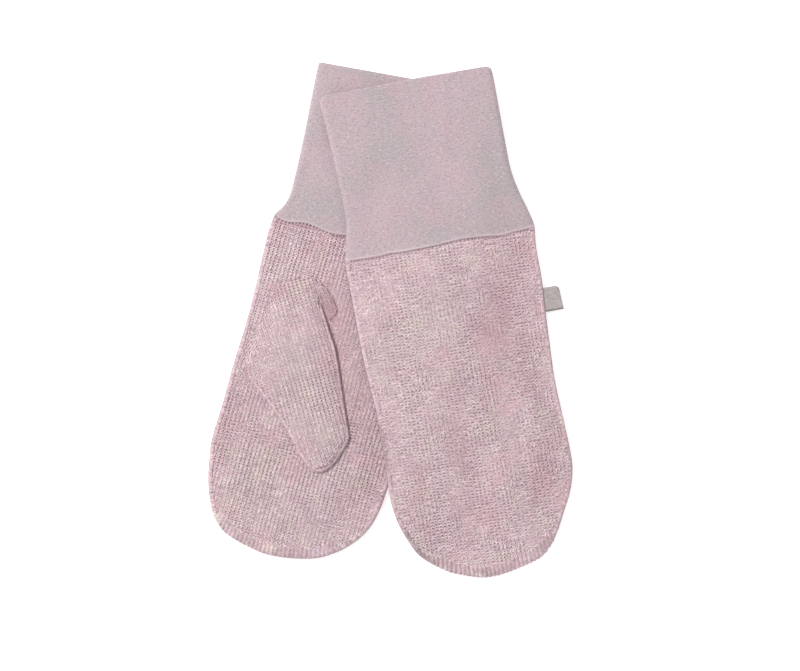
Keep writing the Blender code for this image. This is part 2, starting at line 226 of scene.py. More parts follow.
LEFT_PALM_DENTS = (
    (12.0, 36.0, 20.0, 62.0, 5.0, 0.32),
    (-6.0, 84.0, 10.0, 102.0, 4.6, 0.30),
    (18.0, 112.0, 8.0, 124.0, 4.0, 0.24),
)
LEFT_CUFF_CREASES = (
    (12.6, -63.0, 9.5, -44.0, 2.6, 0.20),
    (20.5, -61.0, 18.0, -50.0, 2.4, 0.16),
    (-20.0, -34.0, -27.0, -14.0, 5.0, -0.26),
    (-7.0, -67.0, -3.0, -56.0, 4.6, -0.26),
    (-26.0, -58.0, -24.0, -40.0, 4.0, 0.18),
    (2.0, -40.0, 6.0, -18.0, 5.0, -0.18),
    (27.5, -34.0, 30.0, -10.0, 3.6, -0.30),
    (16.0, -28.0, 19.0, -8.0, 4.0, 0.16),
)
RIGHT_CUFF_CREASES = (
    (-34.0, -60.0, -31.5, -38.0, 3.2, 0.20),
    (-26.0, -56.0, -24.0, -30.0, 4.0, -0.22),
    (-31.0, -24.0, -35.0, -8.0, 3.6, -0.24),
    (-14.0, -66.0, -8.0, -50.0, 5.0, -0.20),
    (6.0, -50.0, 10.0, -22.0, 5.0, 0.20),
    (22.0, -44.0, 19.0, -14.0, 4.0, -0.22),
)
THUMB_CREASES = (
    (3.2, 2.6, 8.0, 8.2, 1.5, -0.55),
    (-9.0, 6.0, 2.0, 4.6, 2.2, 0.30),
    (-22.0, 17.0, -29.0, 27.0, 2.2, 0.28),
    (-10.0, 22.0, -4.0, 40.0, 4.2, 0.22),
    (0.0, 30.0, 0.0, 56.0, 2.6, -0.26),
    (-20.0, 40.0, -15.0, 66.0, 3.2, -0.20),
    (-9.0, 58.0, -6.0, 74.0, 4.0, 0.26),
)
CREASE_UNIT = 1.7                    # the tables' heights are shares of this many millimetres
HAND_FADE, THUMB_FADE = 4.5, 2.2     # from the rim until a crease has its full height
print("creases on the left back:", len(LEFT_BACK_CREASES), "and on the right palm:",
      len(RIGHT_PALM_CREASES))

# %% [markdown]
# ## Shapes in plan
#
# Smooth rows are read through each table with a Catmull-Rom curve, closer together where the
# outline turns or the cloth bends over an edge. Two easing curves serve all heights: one falls
# softly from one to nought, and the other rounds a rim over like a quarter of a circle.

# %% Easing, and smooth rows through a table
SAMPLES = 4                       # points of the curve that are tried for each millimetre
LEAST_STEP = 0.4                  # a row nearer to the next than this share of a step goes
EDGE_STEP, CUT_STEP = 1.6, 1.0    # steps down an outline and down a cut


def evenly(step):
    """The same step all along."""
    return lambda along: step


def fall(t):
    """1 until t = 0, then easing to 0 at t = 1."""
    t = np.clip(t, 0.0, 1.0)
    return 1.0 - t * t * (3.0 - 2.0 * t)


def round_over(t):
    """A quarter round: 0 at the edge and 1 from t = 1 inwards."""
    t = np.clip(t, 0.0, 1.0)
    return np.sqrt(t * (2.0 - t))


def rows_through(table, spacing):
    """Smooth rows (along, left, right, lean); spacing(along) is the step that they may take."""
    rows = np.array([(*row, 0.0)[:4] for row in table])
    crossed = [0, 2, 1, 3]            # past a pointed end, left and right change sides
    first, last = 2 * rows[0] - rows[1], 2 * rows[-1] - rows[-2]
    if rows[0][1] == rows[0][2]:
        first = rows[1][crossed]
    if rows[-1][1] == rows[-1][2]:
        last = rows[-2][crossed]
    knots = np.vstack([first, rows, last])
    found = [rows[0]]
    for a, b, c, d in zip(knots, knots[1:], knots[2:], knots[3:]):
        fine = SAMPLES * math.ceil(np.abs(c[:3] - b[:3]).max())
        for t in np.arange(1, fine + 1) / fine:
            row = 0.5 * (2 * b + (c - a) * t + (2 * a - 5 * b + 4 * c - d) * t ** 2
                         + (3 * b - a - 3 * c + d) * t ** 3)
            if np.abs(row[:3] - found[-1][:3]).max() >= spacing(row[0]):
                found.append(row)
        if np.abs(found[-1][:3] - c[:3]).max() < LEAST_STEP * spacing(c[0]) and len(found) > 1:
            found.pop()
        found.append(c)
    return np.array(found)


print("rows down a thumb:", len(rows_through(THUMB_OUTER, evenly(CUT_STEP))))

# %% [markdown]
# ## Frames
#
# A mitten's frame is set on the table by a point and a turn. A thumb's frame starts at the
# thumb's root and is turned further. Each place function takes across and along to world x and
# y, for single values or for whole arrays.

# %% Frames of the mittens and thumbs
def turned(across, along, turn):
    c, s = math.cos(math.radians(turn)), math.sin(math.radians(turn))
    return across * c + along * s, across * s - along * c


def mitten_place(mitten):
    def place(across, along):
        x, y = turned(across, along, mitten["turn"])
        return mitten["x"] + x, mitten["y"] + y
    return place


def thumb_place(mitten, root):
    root_x, root_y = mitten_place(mitten)(root["across"], root["along"])

    def place(across, along):
        x, y = turned(across, along, mitten["turn"] + THUMB_TURN)
        return root_x + x, root_y + y
    return place


def along_of(mitten, x, y):
    turn = math.radians(mitten["turn"])
    return (x - mitten["x"]) * math.sin(turn) - (y - mitten["y"]) * math.cos(turn)


root_x, root_y = mitten_place(RIGHT_MITTEN)(RIGHT_THUMB["across"], RIGHT_THUMB["along"])
print(f"the right thumb's root lies at {root_x:.1f}, {root_y:.1f} mm")

# %% [markdown]
# ## Distances in plan
#
# Rounded rims and drape depend on how far a point is from an outline. Both distances work on
# whole arrays at once: one is to an open line, and the other has a sign, which tells the inside
# of a closed outline from the outside.

# %% Distances to lines and outlines
def distance_to(line, x, y):
    """Distance in plan from each point to an open line of points."""
    start, run = line[:-1], np.diff(line, axis=0)
    length = np.maximum((run ** 2).sum(axis=1), 1e-9)
    points = np.stack([np.ravel(x), np.ravel(y)], axis=1)
    offset = points[:, None, :] - start
    t = np.clip((offset * run).sum(axis=2) / length, 0.0, 1.0)
    nearest = np.hypot(*np.moveaxis(offset - t[..., None] * run, 2, 0)).min(axis=1)
    return nearest.reshape(np.shape(x))


def outside(line, x, y):
    """Distance to a closed outline: positive outside it and negative inside."""
    ring = np.vstack([line, line[:1]])
    (ax, ay), (bx, by) = ring[:-1].T, ring[1:].T
    px, py = np.ravel(x)[:, None], np.ravel(y)[:, None]
    spans = (ay > py) != (by > py)
    rise = np.where(by == ay, 1.0, by - ay)
    crossings = (spans & (ax + (py - ay) * (bx - ax) / rise > px)).sum(axis=1)
    sign = np.where(crossings % 2 == 1, -1.0, 1.0).reshape(np.shape(x))
    return distance_to(ring, x, y) * sign


def edge_points(row, share):
    """(across, along) at a share of each row's width from its left edge."""
    along, left, right, lean = row.T
    reach = left + share * (right - left)
    return reach * np.cos(np.radians(lean)), along - reach * np.sin(np.radians(lean))


def panel_edge(place, rows, share):
    """World points down the rows at a share of their width: 0 is the left edge, 1 the right."""
    return np.stack(place(*edge_points(rows, share)), axis=1)


def edge_line(tables, place):
    """World points down the left edge of some tables' rows, round the tip and up the right."""
    rows = np.vstack([rows_through(table, evenly(EDGE_STEP)) for table in tables])
    return np.vstack([panel_edge(place, rows, 0.0), panel_edge(place, rows, 1.0)[::-1]])


print("points round the left hand:", len(edge_line([LEFT_HAND], mitten_place(LEFT_MITTEN))))

# %% [markdown]
# ## Crowns, creases and cut areas
#
# A hand is a little fuller in its middle. Each crease is a soft bar, whose height falls off like
# a bell from a straight line. The area of a cut is summed from the widths of its rows.

# %% Crowns, creases and areas
def crown_along(along):
    return CROWN * (1.0 - fall(along / CROWN_RUN))


def soft_bars(table, x, y):
    """What a table's rows add up to, each one a soft bar with round ends."""
    total = np.zeros(np.shape(x))
    for x0, y0, x1, y1, half_width, top in table:
        away = distance_to(np.array([(x0, y0), (x1, y1)]), x, y)
        total += top * np.exp(-(away / half_width) ** 2)
    return total


def creased(table, across, along):
    """Height in millimetres that a table of creases adds."""
    return CREASE_UNIT * soft_bars(table, across, along)


def cut_area(table):
    """Area in square millimetres of a piece, from the widths of its rows."""
    rows = rows_through(table, evenly(CUT_STEP))
    width = rows[:, 2] - rows[:, 1]
    return float((np.diff(rows[:, 0]) * (width[1:] + width[:-1]) / 2).sum())


print(f"left hand panel: {cut_area(LEFT_HAND) / 100:.1f} cm2")

# %% [markdown]
# ## A panel as a closed shell
#
# A real panel is one layer of cloth, so its shell has two skins with the same layout of rows
# and columns, joined round the rim. The points of both skins come from the table, and a height
# function lifts each one. The shell keeps the flat cut as its UV map, in metres, so patterns
# run along the cloth.

# %% Shells from rows and columns
RIM_STEPS = np.array([0.0, 0.25, 0.6, 1.1, 1.7, 2.4, 3.4, 4.8])   # columns near a rim, in mm
RIM_SHARE = 0.4           # the most of a row's width that the columns near one rim take up
TINY = 1e-6               # millimetres, which keep a division from nought
MERGED = 1e-7             # metres within which two points are one


def layout(rows, middle_columns):
    """Across and along of every point, with columns close together near both rims."""
    width = np.maximum(rows[:, 2] - rows[:, 1], TINY)
    squeeze = np.minimum(1.0, RIM_SHARE * width / RIM_STEPS[-1])
    near = RIM_STEPS[None, :] * (squeeze / width)[:, None]
    t = np.linspace(0.0, 1.0, middle_columns + 2)[1:-1]
    middle = near[:, -1:] + t * (1.0 - 2.0 * near[:, -1:])
    share = np.hstack([near, middle, 1.0 - near[:, ::-1]])
    reach = rows[:, 1:2] + share * width[:, None]
    lean = np.radians(rows[:, 3:4])
    return reach * np.cos(lean), rows[:, 0:1] - reach * np.sin(lean)


def mesh_object(name, points, faces, flat, rim=None):
    """A closed smooth mesh in metres. Points and flat, its UV map, are in millimetres, and so is
    rim, each point's distance from the sewn edge."""
    data = bpy.data.meshes.new(name)
    data.from_pydata((points * MM).tolist(), [], faces)
    uv = data.uv_layers.new(name="cloth")
    corners = np.zeros(len(data.loops), np.int32)
    data.loops.foreach_get("vertex_index", corners)
    uv.data.foreach_set("uv", (flat[corners] * MM).astype(np.float32).ravel())
    if rim is not None:
        kept = data.attributes.new("rim_distance", "FLOAT", "POINT")
        kept.data.foreach_set("value", (rim * MM).astype(np.float32).ravel())
    mesh = bmesh.new()
    mesh.from_mesh(data)
    bmesh.ops.remove_doubles(mesh, verts=mesh.verts, dist=MERGED)
    bmesh.ops.recalc_face_normals(mesh, faces=mesh.faces)
    open_edges = sum(1 for edge in mesh.edges if len(edge.link_faces) != 2)
    mesh.to_mesh(data)
    mesh.free()
    data.shade_smooth()
    obj = bpy.data.objects.new(name, data)
    bpy.context.scene.collection.objects.link(obj)
    print(f"{name}: {len(data.polygons)} faces, {open_edges} open edges, "
          f"needed a repair: {data.validate()}")
    return obj


def shell(name, under, over, flat, clear=None):
    """A closed shell from two skins, each an array of rows by columns by 3."""
    rows, cols = under.shape[:2]
    low = np.arange(rows * cols).reshape(rows, cols)
    high = low + rows * cols
    faces = []
    for skin in (low, high):
        quads = np.stack([skin[:-1, :-1], skin[1:, :-1], skin[1:, 1:], skin[:-1, 1:]], axis=-1)
        faces += quads.reshape(-1, 4).tolist()
    rim = np.concatenate([low[0, :-1], low[:-1, -1], low[-1, :0:-1], low[:0:-1, 0]])
    after = np.roll(rim, -1)
    count = rows * cols
    faces += np.stack([rim, after, after + count, rim + count], axis=1).tolist()
    points = np.concatenate([under.reshape(-1, 3), over.reshape(-1, 3)])
    rims = None if clear is None else np.tile(clear.ravel(), 2)
    return mesh_object(name, points, faces, np.tile(flat.reshape(-1, 2), (2, 1)), rims)


def scaled(across, along, middle, half, inset):
    """Draws a panel's points in towards its middle, so that its outline ends inside the cut."""
    return (middle[0] + (across - middle[0]) * (1.0 - inset / half[0]),
            middle[1] + (along - middle[1]) * (1.0 - inset / half[1]))


print("columns near each rim:", len(RIM_STEPS), "out to", RIM_STEPS[-1], "mm")

# %% [markdown]
# ## The hands
#
# The palm and the back of a mitten are two panels sewn together round the sides and tip and
# turned right side out, which leaves a soft rolled edge with a groove at its middle height.
# Each panel's inner skin ends a little further in than its outer one, and that makes the groove.

# %% Sizes of a hand's rim
HAND_MIDDLE, HAND_HALF = (0.0, 70.0), (39.0, 70.0)
GROOVE_INSET = 0.9
DITCH_DEPTH, DITCH_RUN = 0.45, 0.7    # the cloth turns down into the seam with the cuff
HAND_COLUMNS = 34
SEAM_ZONE, FINE_STEP, HAND_STEP = 2.2, 0.35, 1.5      # rows are closer together at the seam
RIM_GAP = 0.01                        # what stays open between the two panels at their rim
DENT_SHARE = 0.6                      # how much of a dent below the inner skin follows
LOOP_CLEAR, SEAM_CLEAR = 1.5, 0.55    # loops keep this far from a rim and from the cuff's seam
TIP_FROM, TIP_EASE = 125.0, 7.0       # round the tip, from here, the wales run out as ribs
TIP_RIB_REACH = 2.3                   # and the loops keep this much further from the rim


def hand_spacing(along):
    return FINE_STEP if along < SEAM_ZONE else HAND_STEP


print("rows down a hand:", len(rows_through(RIGHT_HAND, hand_spacing)))

# %% [markdown]
# ## How the cuff seams wander
#
# A seam that is sewn in stretchy knit is never straight. Each table gives how far along the seam
# is moved at places across the hand. The move is smoothed, and the cloth above and below follows
# it less and less away from the seam.

# %% Wandering seams: across, and how far along the seam is moved there
SEAM_WAVE = ((-43.0, -2.0), (-40.0, 0.2), (-37.0, 1.4), (-33.5, 1.7), (-27.0, -0.3),
             (-23.0, 0.0), (-18.0, 0.8), (-14.0, 1.0), (-9.0, 0.0), (0.0, -0.2), (40.0, 0.0))
SEAM_STEPS = ((-40.0, 0.3), (-32.0, 0.5), (-25.0, 0.7), (-21.8, 0.1), (-16.0, 0.6), (-9.5, 0.5),
              (-0.5, 0.4), (3.0, 0.0), (9.8, -0.3), (14.5, 0.0), (21.0, 0.5), (26.6, 1.3),
              (30.8, 0.6), (35.0, 0.5), (40.0, 0.0))
SEAM_WAVE_RUN = 12.0
SMOOTHED_OVER = (-1.6, -0.8, 0.0, 0.8, 1.6)


def seam_moved(wave, across, along):
    """Along, moved as the seam wanders, fading out away from the seam."""
    at, move = np.array(wave).T
    smooth = sum(np.interp(across + shift, at, move) for shift in SMOOTHED_OVER)
    smooth = smooth / len(SMOOTHED_OVER)
    return along + smooth * fall(np.abs(along) / SEAM_WAVE_RUN)


# %% [markdown]
# ## What each layer rests on
#
# The right mitten lies on the table and its thumb on its palm. The left mitten lies across it,
# and over its own folded thumb. Each function gives the height of what is below a point, and
# eases down past an edge as cloth drapes.

# %% Heights below each layer
def on_table(x, y):
    return np.zeros(np.shape(x))


def palm_top(x, y):
    """The right palm's top without its creases, which its thumb and the upper mitten rest on."""
    depth = distance_to(RIGHT_HAND_EDGE, x, y)
    share = np.minimum(depth / CROWN_DEPTH, 1.0)
    crown = crown_along(along_of(RIGHT_MITTEN, x, y)) * share * (2.0 - share)
    thickness = HAND_EDGE + (KNIT - HAND_EDGE) * round_over(depth / EDGE_ROUND)
    return KNIT + GAP + crown + thickness


def on_palm(x, y):
    return palm_top(x, y) + GAP


def over_right(x, y):
    """The upper mitten's underside: across the lower one, then eased down to the table."""
    height = FLAT_HEIGHT + crown_along(along_of(RIGHT_MITTEN, x, y)) + GAP
    return height * fall((outside(RIGHT_OUTLINE, x, y) - DRAPE_MARGIN) / DRAPE_RUN)


def over_thumb(x, y):
    """The left palm's underside, which also passes over its own hidden thumb."""
    height = 2 * THUMB_KNIT + THUMB_CROWN + GAP + HIDDEN_CLEARANCE
    beyond = (outside(LEFT_THUMB_EDGE, x, y) - THUMB_MARGIN) / THUMB_RUN
    return over_right(x, y) + height * fall(beyond)


RIGHT_OUTLINE = edge_line([RIGHT_CUFF, RIGHT_HAND], mitten_place(RIGHT_MITTEN))
RIGHT_HAND_EDGE = edge_line([RIGHT_HAND], mitten_place(RIGHT_MITTEN))
LEFT_THUMB_EDGE = edge_line([THUMB_OUTER], thumb_place(LEFT_MITTEN, LEFT_THUMB))
middle_x, middle_y = mitten_place(LEFT_MITTEN)(*HAND_MIDDLE)
print(f"below the middle of the left hand: {float(over_thumb(middle_x, middle_y)):.1f} mm")

# %% [markdown]
# ## A hand's two panels
#
# The lower panel rests on what is below and the upper one on the lower. Both thin out and close
# up towards the rim, the crown lifts only the upper one, and the creases fade out before the
# rim, so that the seam stays closed.

# %% Both panels of a hand
def hand(names, table, mitten, base, wave, lower_creases, upper_creases):
    """The lower and upper panel of one hand on the height that base gives."""
    place = mitten_place(mitten)
    edge = edge_line([table], place)
    across, along = layout(rows_through(table, hand_spacing), HAND_COLUMNS)
    x, y = place(across, along)
    depth = distance_to(edge, x, y)
    level = base(x, y)
    rounding = round_over(depth / EDGE_ROUND)
    crown_share = np.minimum(depth / CROWN_DEPTH, 1.0)
    crown = crown_along(along) * crown_share * (2.0 - crown_share)
    ditch = DITCH_DEPTH * (1.0 - round_over(along / DITCH_RUN))
    fade = (1.0 - fall(depth / HAND_FADE)) * (1.0 - fall(along / HAND_FADE))
    closing = (GAP / 2 - RIM_GAP) * (1.0 - rounding)

    dent = creased(lower_creases, across, along) * fade
    lower_outer = level + (KNIT - HAND_EDGE) * (1.0 - rounding) + YARN_DEPTH * rounding + dent
    lower_inner = level + KNIT + closing + DENT_SHARE * dent
    rise = crown + creased(upper_creases, across, along) * fade
    upper_inner = np.maximum(level + KNIT + GAP - closing + rise, lower_inner + RIM_GAP)
    thickness = HAND_EDGE + (KNIT - HAND_EDGE) * rounding
    upper_outer = upper_inner + closing + thickness - YARN_DEPTH * rounding - ditch
    upper_outer = np.maximum(upper_outer, upper_inner + THINNEST)

    moved = seam_moved(wave, across, along)
    flat = np.stack([across, moved], axis=-1)

    def skin(height, inset):
        a, l = scaled(across, moved, HAND_MIDDLE, HAND_HALF, inset)
        return np.stack([*place(a, l), height], axis=-1)

    to_rib_ends = TIP_RIB_REACH * (1.0 - fall((along - TIP_FROM) / TIP_EASE))
    clear = np.minimum(depth - to_rib_ends, along + LOOP_CLEAR - SEAM_CLEAR)
    lower = shell(names[0], skin(lower_outer, RIM_INSET), skin(lower_inner, GROOVE_INSET), flat,
                  clear)
    upper = shell(names[1], skin(upper_inner, GROOVE_INSET), skin(upper_outer, RIM_INSET), flat,
                  clear)
    return lower, upper


right_back, right_palm = hand(("right_back_knit", "right_palm_knit"), RIGHT_HAND, RIGHT_MITTEN,
                              on_table, SEAM_WAVE, RIGHT_BACK_DENTS, RIGHT_PALM_CREASES)
left_palm, left_back = hand(("left_palm_knit", "left_back_knit"), LEFT_HAND, LEFT_MITTEN,
                            over_thumb, SEAM_STEPS, LEFT_PALM_DENTS, LEFT_BACK_CREASES)

# %% [markdown]
# ## The thumbs
#
# The outer thumb panel is sewn to the palm in an arc round its top and left shoulder, nearly
# flush there, and rises over the inner panel below. The crease tables give the folds at its
# root. The left thumb is folded in under its own palm, so it stays plain.

# %% Sizes of a thumb and its seams
THUMB_MIDDLE, THUMB_HALF = (-10.0, 42.0), (18.0, 40.0)
THUMB_COLUMNS, THUMB_STEP = 14, 1.1
TOP_ARC_TO = 7.0      # the sewn arc runs down the right side this far
SEWN_RUN = 3.6        # from the sewn edge until the outer panel has its full thickness
SEWN_EDGE = 0.12
SEWN_CLEAR = -0.1     # loops come this near the sewn edge
RIGHT_SEWN_TO = 11.6  # the right edge is caught down this far, and rises over a short run
RIGHT_RUN, RIGHT_FLUSH = 3.0, 2.0
PRESSED, PRESSED_RUN = 0.44, 6.0      # the free edges lie pressed flatter than the middle


def thumb_seams(place):
    """World lines: the sewn arc, the stretch of the right edge that is caught, the free edge."""
    arc = rows_through([row for row in THUMB_OUTER if row[0] <= SEWN_TO], evenly(CUT_STEP))
    below = rows_through([row for row in THUMB_OUTER if row[0] > SEWN_TO], evenly(CUT_STEP))
    rows = rows_through(THUMB_OUTER, evenly(CUT_STEP))
    sewn = np.vstack([panel_edge(place, arc[arc[:, 0] < TOP_ARC_TO], 1.0)[::-1],
                      panel_edge(place, arc, 0.0)])
    caught = panel_edge(place, rows[rows[:, 0] <= RIGHT_SEWN_TO], 1.0)
    loose = panel_edge(place, rows[rows[:, 0] > RIGHT_SEWN_TO], 1.0)
    return sewn, caught, np.vstack([panel_edge(place, below, 0.0), loose[::-1]])


# %% Thumb panels
def thumb(names, mitten, root, base, crease_table, sewn_flush):
    """The inner and outer panel of one thumb on the height that base gives."""
    place = thumb_place(mitten, root)
    sewn, caught, free = thumb_seams(place)

    def pressed(x, y):
        return 1.0 - PRESSED * fall(distance_to(free, x, y) / PRESSED_RUN)

    def skin(height):
        a, l = scaled(across, along, THUMB_MIDDLE, THUMB_HALF, RIM_INSET)
        return np.stack([*place(a, l), height], axis=-1)

    across, along = layout(rows_through(THUMB_INNER, evenly(THUMB_STEP)), THUMB_COLUMNS)
    x, y = place(across, along)
    rounding = round_over(distance_to(edge_line([THUMB_INNER], place), x, y) / EDGE_ROUND)
    under = base(x, y) + (THUMB_KNIT - THUMB_EDGE) * (1.0 - rounding) * pressed(x, y)
    over = base(x, y) + THUMB_KNIT * pressed(x, y)
    inner = shell(names[0], skin(under), skin(over), np.stack([across, along], axis=-1))

    across, along = layout(rows_through(THUMB_OUTER, evenly(THUMB_STEP)), THUMB_COLUMNS)
    x, y = place(across, along)
    depth = distance_to(edge_line([THUMB_OUTER], place), x, y)
    to_sewn, to_caught = distance_to(sewn, x, y), distance_to(caught, x, y)
    crown = np.minimum(depth / THUMB_CROWN_DEPTH, 1.0)
    creases = creased(crease_table, across, along) * (1.0 - fall(depth / THUMB_FADE))
    closed = fall(to_sewn / ROOT_RUN)
    rounding = round_over(depth / EDGE_ROUND)
    thickness = THUMB_EDGE + (THUMB_KNIT - THUMB_EDGE) * rounding - YARN_DEPTH * rounding
    if sewn_flush:
        closed = np.maximum(closed, fall(to_caught / RIGHT_RUN))
        flush = np.maximum(fall(to_sewn / SEWN_RUN), fall(to_caught / RIGHT_FLUSH))
        thickness = thickness * (1.0 - flush) + SEWN_EDGE * flush
    under = (base(x, y) + (THUMB_KNIT + GAP) * (1.0 - closed) * pressed(x, y)
             + THUMB_CROWN * crown * (2.0 - crown))
    thickness = thickness * pressed(x, y)
    over = under + thickness + np.maximum(creases, THINNEST - thickness)
    clear = np.minimum(distance_to(free, x, y), depth + LOOP_CLEAR - SEWN_CLEAR)
    outer = shell(names[1], skin(under), skin(over), np.stack([across, along], axis=-1), clear)
    return inner, outer


right_thumb_inner, right_thumb_outer = thumb(
    ("right_thumb_inner_knit", "right_thumb_outer_knit"), RIGHT_MITTEN, RIGHT_THUMB, on_palm,
    THUMB_CREASES, True)
left_thumb_outer, left_thumb_inner = thumb(
    ("left_thumb_outer_knit", "left_thumb_inner_knit"), LEFT_MITTEN, LEFT_THUMB, over_right,
    (), False)

# %% [markdown]
# ## The fold beside the thumb
#
# Where the thumb leaves the palm, a corner of the palm's knit bunches up in a small flat fold
# that shows beside the thumb's right edge. It is a small shell of its own that lies on the palm
# and goes in under the thumb, in the thumb's frame.

# %% The gusset fold
GUSSET = (
    (3.6, 6.6, 7.8),
    (5.2, 5.8, 9.2),
    (8.4, 4.6, 10.6),
    (12.0, 3.6, 11.7),
    (15.6, 2.8, 12.2),
    (18.0, 2.8, 11.7),
    (19.8, 3.2, 9.9),
    (20.9, 4.2, 6.6),
)
GUSSET_THICK, GUSSET_EDGE, GUSSET_ROUND = 0.6, 0.15, 1.2
GUSSET_CLEAR = 0.05       # from the palm up to the fold
GUSSET_LOOP_CLEAR = 0.25  # loops keep this far from the fold's rim
GUSSET_COLUMNS, GUSSET_STEP = 4, 0.8


def gusset_fold(name):
    place = thumb_place(RIGHT_MITTEN, RIGHT_THUMB)
    across, along = layout(rows_through(GUSSET, evenly(GUSSET_STEP)), GUSSET_COLUMNS)
    x, y = place(across, along)
    inside = -outside(edge_line([GUSSET], place), x, y)
    under = palm_top(x, y) - YARN_DEPTH + GUSSET_CLEAR
    over = under + GUSSET_EDGE + (GUSSET_THICK - GUSSET_EDGE) * round_over(inside / GUSSET_ROUND)
    return shell(name, np.stack([x, y, under], axis=-1), np.stack([x, y, over], axis=-1),
                 np.stack([across, along], axis=-1), inside + LOOP_CLEAR - GUSSET_LOOP_CLEAR)


right_gusset = gusset_fold("right_gusset_fold")

# %% [markdown]
# ## The cuffs
#
# Each cuff is one tube of fine jersey, cut twice as long and folded at the wrist, so its wrist
# edge is a soft fold. Rings run round the outside and round the slit inside, and a few more
# rings round the fold join them. The ridge above the hand's seam is the seam allowance, which
# is turned up inside the cuff and pads it.

# %% Sizes of a cuff
CUFF_INSET = 1.6
CUFF_COLUMNS, CUFF_STEP = 30, 1.6
WRIST_ZONE, RIDGE_ZONE = 2.5, 3.4     # rows are closer together at the wrist and the seam
FOLD_RINGS, FOLD_BULGE = 4, 0.5
CUFF_EDGE_LIFT = 0.5     # what the cuff's edge thins by as it turns in to the seam
CUFF_FADE = 4.0
WRIST_EASE = 0.3         # what the fold at the wrist rounds by
BELOW_SHARE, LINING_SHARE = 0.4, 0.3  # how much of a fold the lower walls follow
SLIT = 0.05              # the least height of the cuff's mouth


def folded_tube(name, outer, inner, flat_rows):
    """A doubled tube: rings up the outside, round the fold at the wrist and down the inside."""
    away = outer[0] - outer[1]
    away = away / np.maximum(np.linalg.norm(away[:, :2], axis=1, keepdims=True), TINY)
    half = np.linalg.norm(outer[0] - inner[0], axis=1, keepdims=True) / 2
    fold = []
    for angle in np.pi * np.arange(1, FOLD_RINGS) / FOLD_RINGS:
        between = (outer[0] + inner[0]) / 2 + (outer[0] - inner[0]) / 2 * np.cos(angle)
        fold.append(between + away * [1, 1, 0] * np.minimum(half, FOLD_BULGE) * np.sin(angle))
    rings = np.concatenate([outer[::-1], fold, inner])
    flat = np.concatenate([flat_rows[::-1], [flat_rows[0]] * (FOLD_RINGS - 1), flat_rows])
    count, around = rings.shape[:2]
    index = np.arange(count * around).reshape(count, around)
    after = np.roll(index, -1, axis=1)
    below, below_after = np.roll(index, -1, axis=0), np.roll(after, -1, axis=0)
    faces = np.stack([index, below, below_after, after], axis=-1).reshape(-1, 4).tolist()
    return mesh_object(name, rings.reshape(-1, 3), faces, flat.reshape(-1, 2))


def ring(x, y, bottom, top):
    """Points round each row: left to right below, then back above."""
    lower = np.stack([x, y, bottom], axis=-1)
    upper = np.stack([x, y, top], axis=-1)
    return np.concatenate([lower, upper[:, ::-1]], axis=1)


# %% Cuff tubes
def cuff(name, table, mitten, base, wave, crease_table):
    place = mitten_place(mitten)
    wrist, seam = table[0][0], table[-1][0]

    def spacing(along):
        close = along < wrist + WRIST_ZONE or along > seam - RIDGE_ZONE
        return FINE_STEP if close else CUFF_STEP

    rows = rows_through(table, spacing)
    across, along = layout(rows, CUFF_COLUMNS)
    lean = np.radians(rows[:, 3:4])
    down = along + across * np.tan(lean)
    width = (rows[:, 2] - rows[:, 1])[:, None]
    reach = across / np.cos(lean)
    depth = np.minimum(reach - rows[:, 1:2], rows[:, 2:3] - reach)
    x, y = place(across, seam_moved(wave, across, along))
    level = base(x, y)
    ease = WRIST_EASE * (1.0 - round_over((down - wrist) / WRIST_ROUND))
    turn_in = CUFF_EDGE_LIFT * (1.0 - round_over((seam - down) / DITCH_RUN))
    to_seam = np.clip((seam - down) / SEAM_RIDGE_RUN, 0.0, 1.0)
    ridge = SEAM_RIDGE * np.sin(math.pi * to_seam)
    side = (FLAT_HEIGHT / 2) * (1.0 - round_over(depth / EDGE_ROUND))
    thinner = np.maximum(np.maximum(side, ease), turn_in)
    fade = (1.0 - fall(depth / CUFF_FADE)) * (1.0 - fall((seam - down) / CUFF_FADE))
    fade = fade * (1.0 - fall((down - wrist) / CUFF_FADE))
    folds = creased(crease_table, across, along) * fade
    low = level + thinner + BELOW_SHARE * np.maximum(folds, 0.0)
    high = level + FLAT_HEIGHT - thinner + ridge + folds

    slit = 1.0 - 2 * CUFF_INSET / width
    centre = (rows[:, 1:2] + rows[:, 2:3]) / 2
    inner_reach = centre + (reach - centre) * slit
    inner_across = inner_reach * np.cos(lean)
    inner_along = seam_moved(wave, inner_across, down - inner_reach * np.sin(lean))
    inner_x, inner_y = place(inner_across, inner_along)
    inner_level = base(inner_x, inner_y)
    inner_low = inner_level + JERSEY + LINING_SHARE * np.maximum(folds, 0.0)
    inner_high = inner_level + FLAT_HEIGHT - JERSEY + folds
    inner_high = np.maximum(inner_high, inner_low + SLIT)

    unrolled = np.concatenate([reach, 2 * rows[:, 2:3] - reach[:, ::-1]], axis=1)
    flat_rows = np.stack([unrolled, np.broadcast_to(down[:, :1], unrolled.shape)], axis=-1)
    return folded_tube(name, ring(x, y, low, high),
                       ring(inner_x, inner_y, inner_low, inner_high), flat_rows)


right_cuff = cuff("right_cuff_jersey", RIGHT_CUFF, RIGHT_MITTEN, on_table, SEAM_WAVE,
                  RIGHT_CUFF_CREASES)
left_cuff = cuff("left_cuff_jersey", LEFT_CUFF, LEFT_MITTEN, over_thumb, SEAM_STEPS,
                 LEFT_CUFF_CREASES)

# %% [markdown]
# ## The side tab
#
# The tab is a 10 mm woven tape folded in two and caught in the side seam. A tape is thinner than
# the solid that stands for it, so it is made as one strip with a real thickness that goes out,
# turns round a tight fold and comes back under itself. Its weave keeps the strip's own UV map.

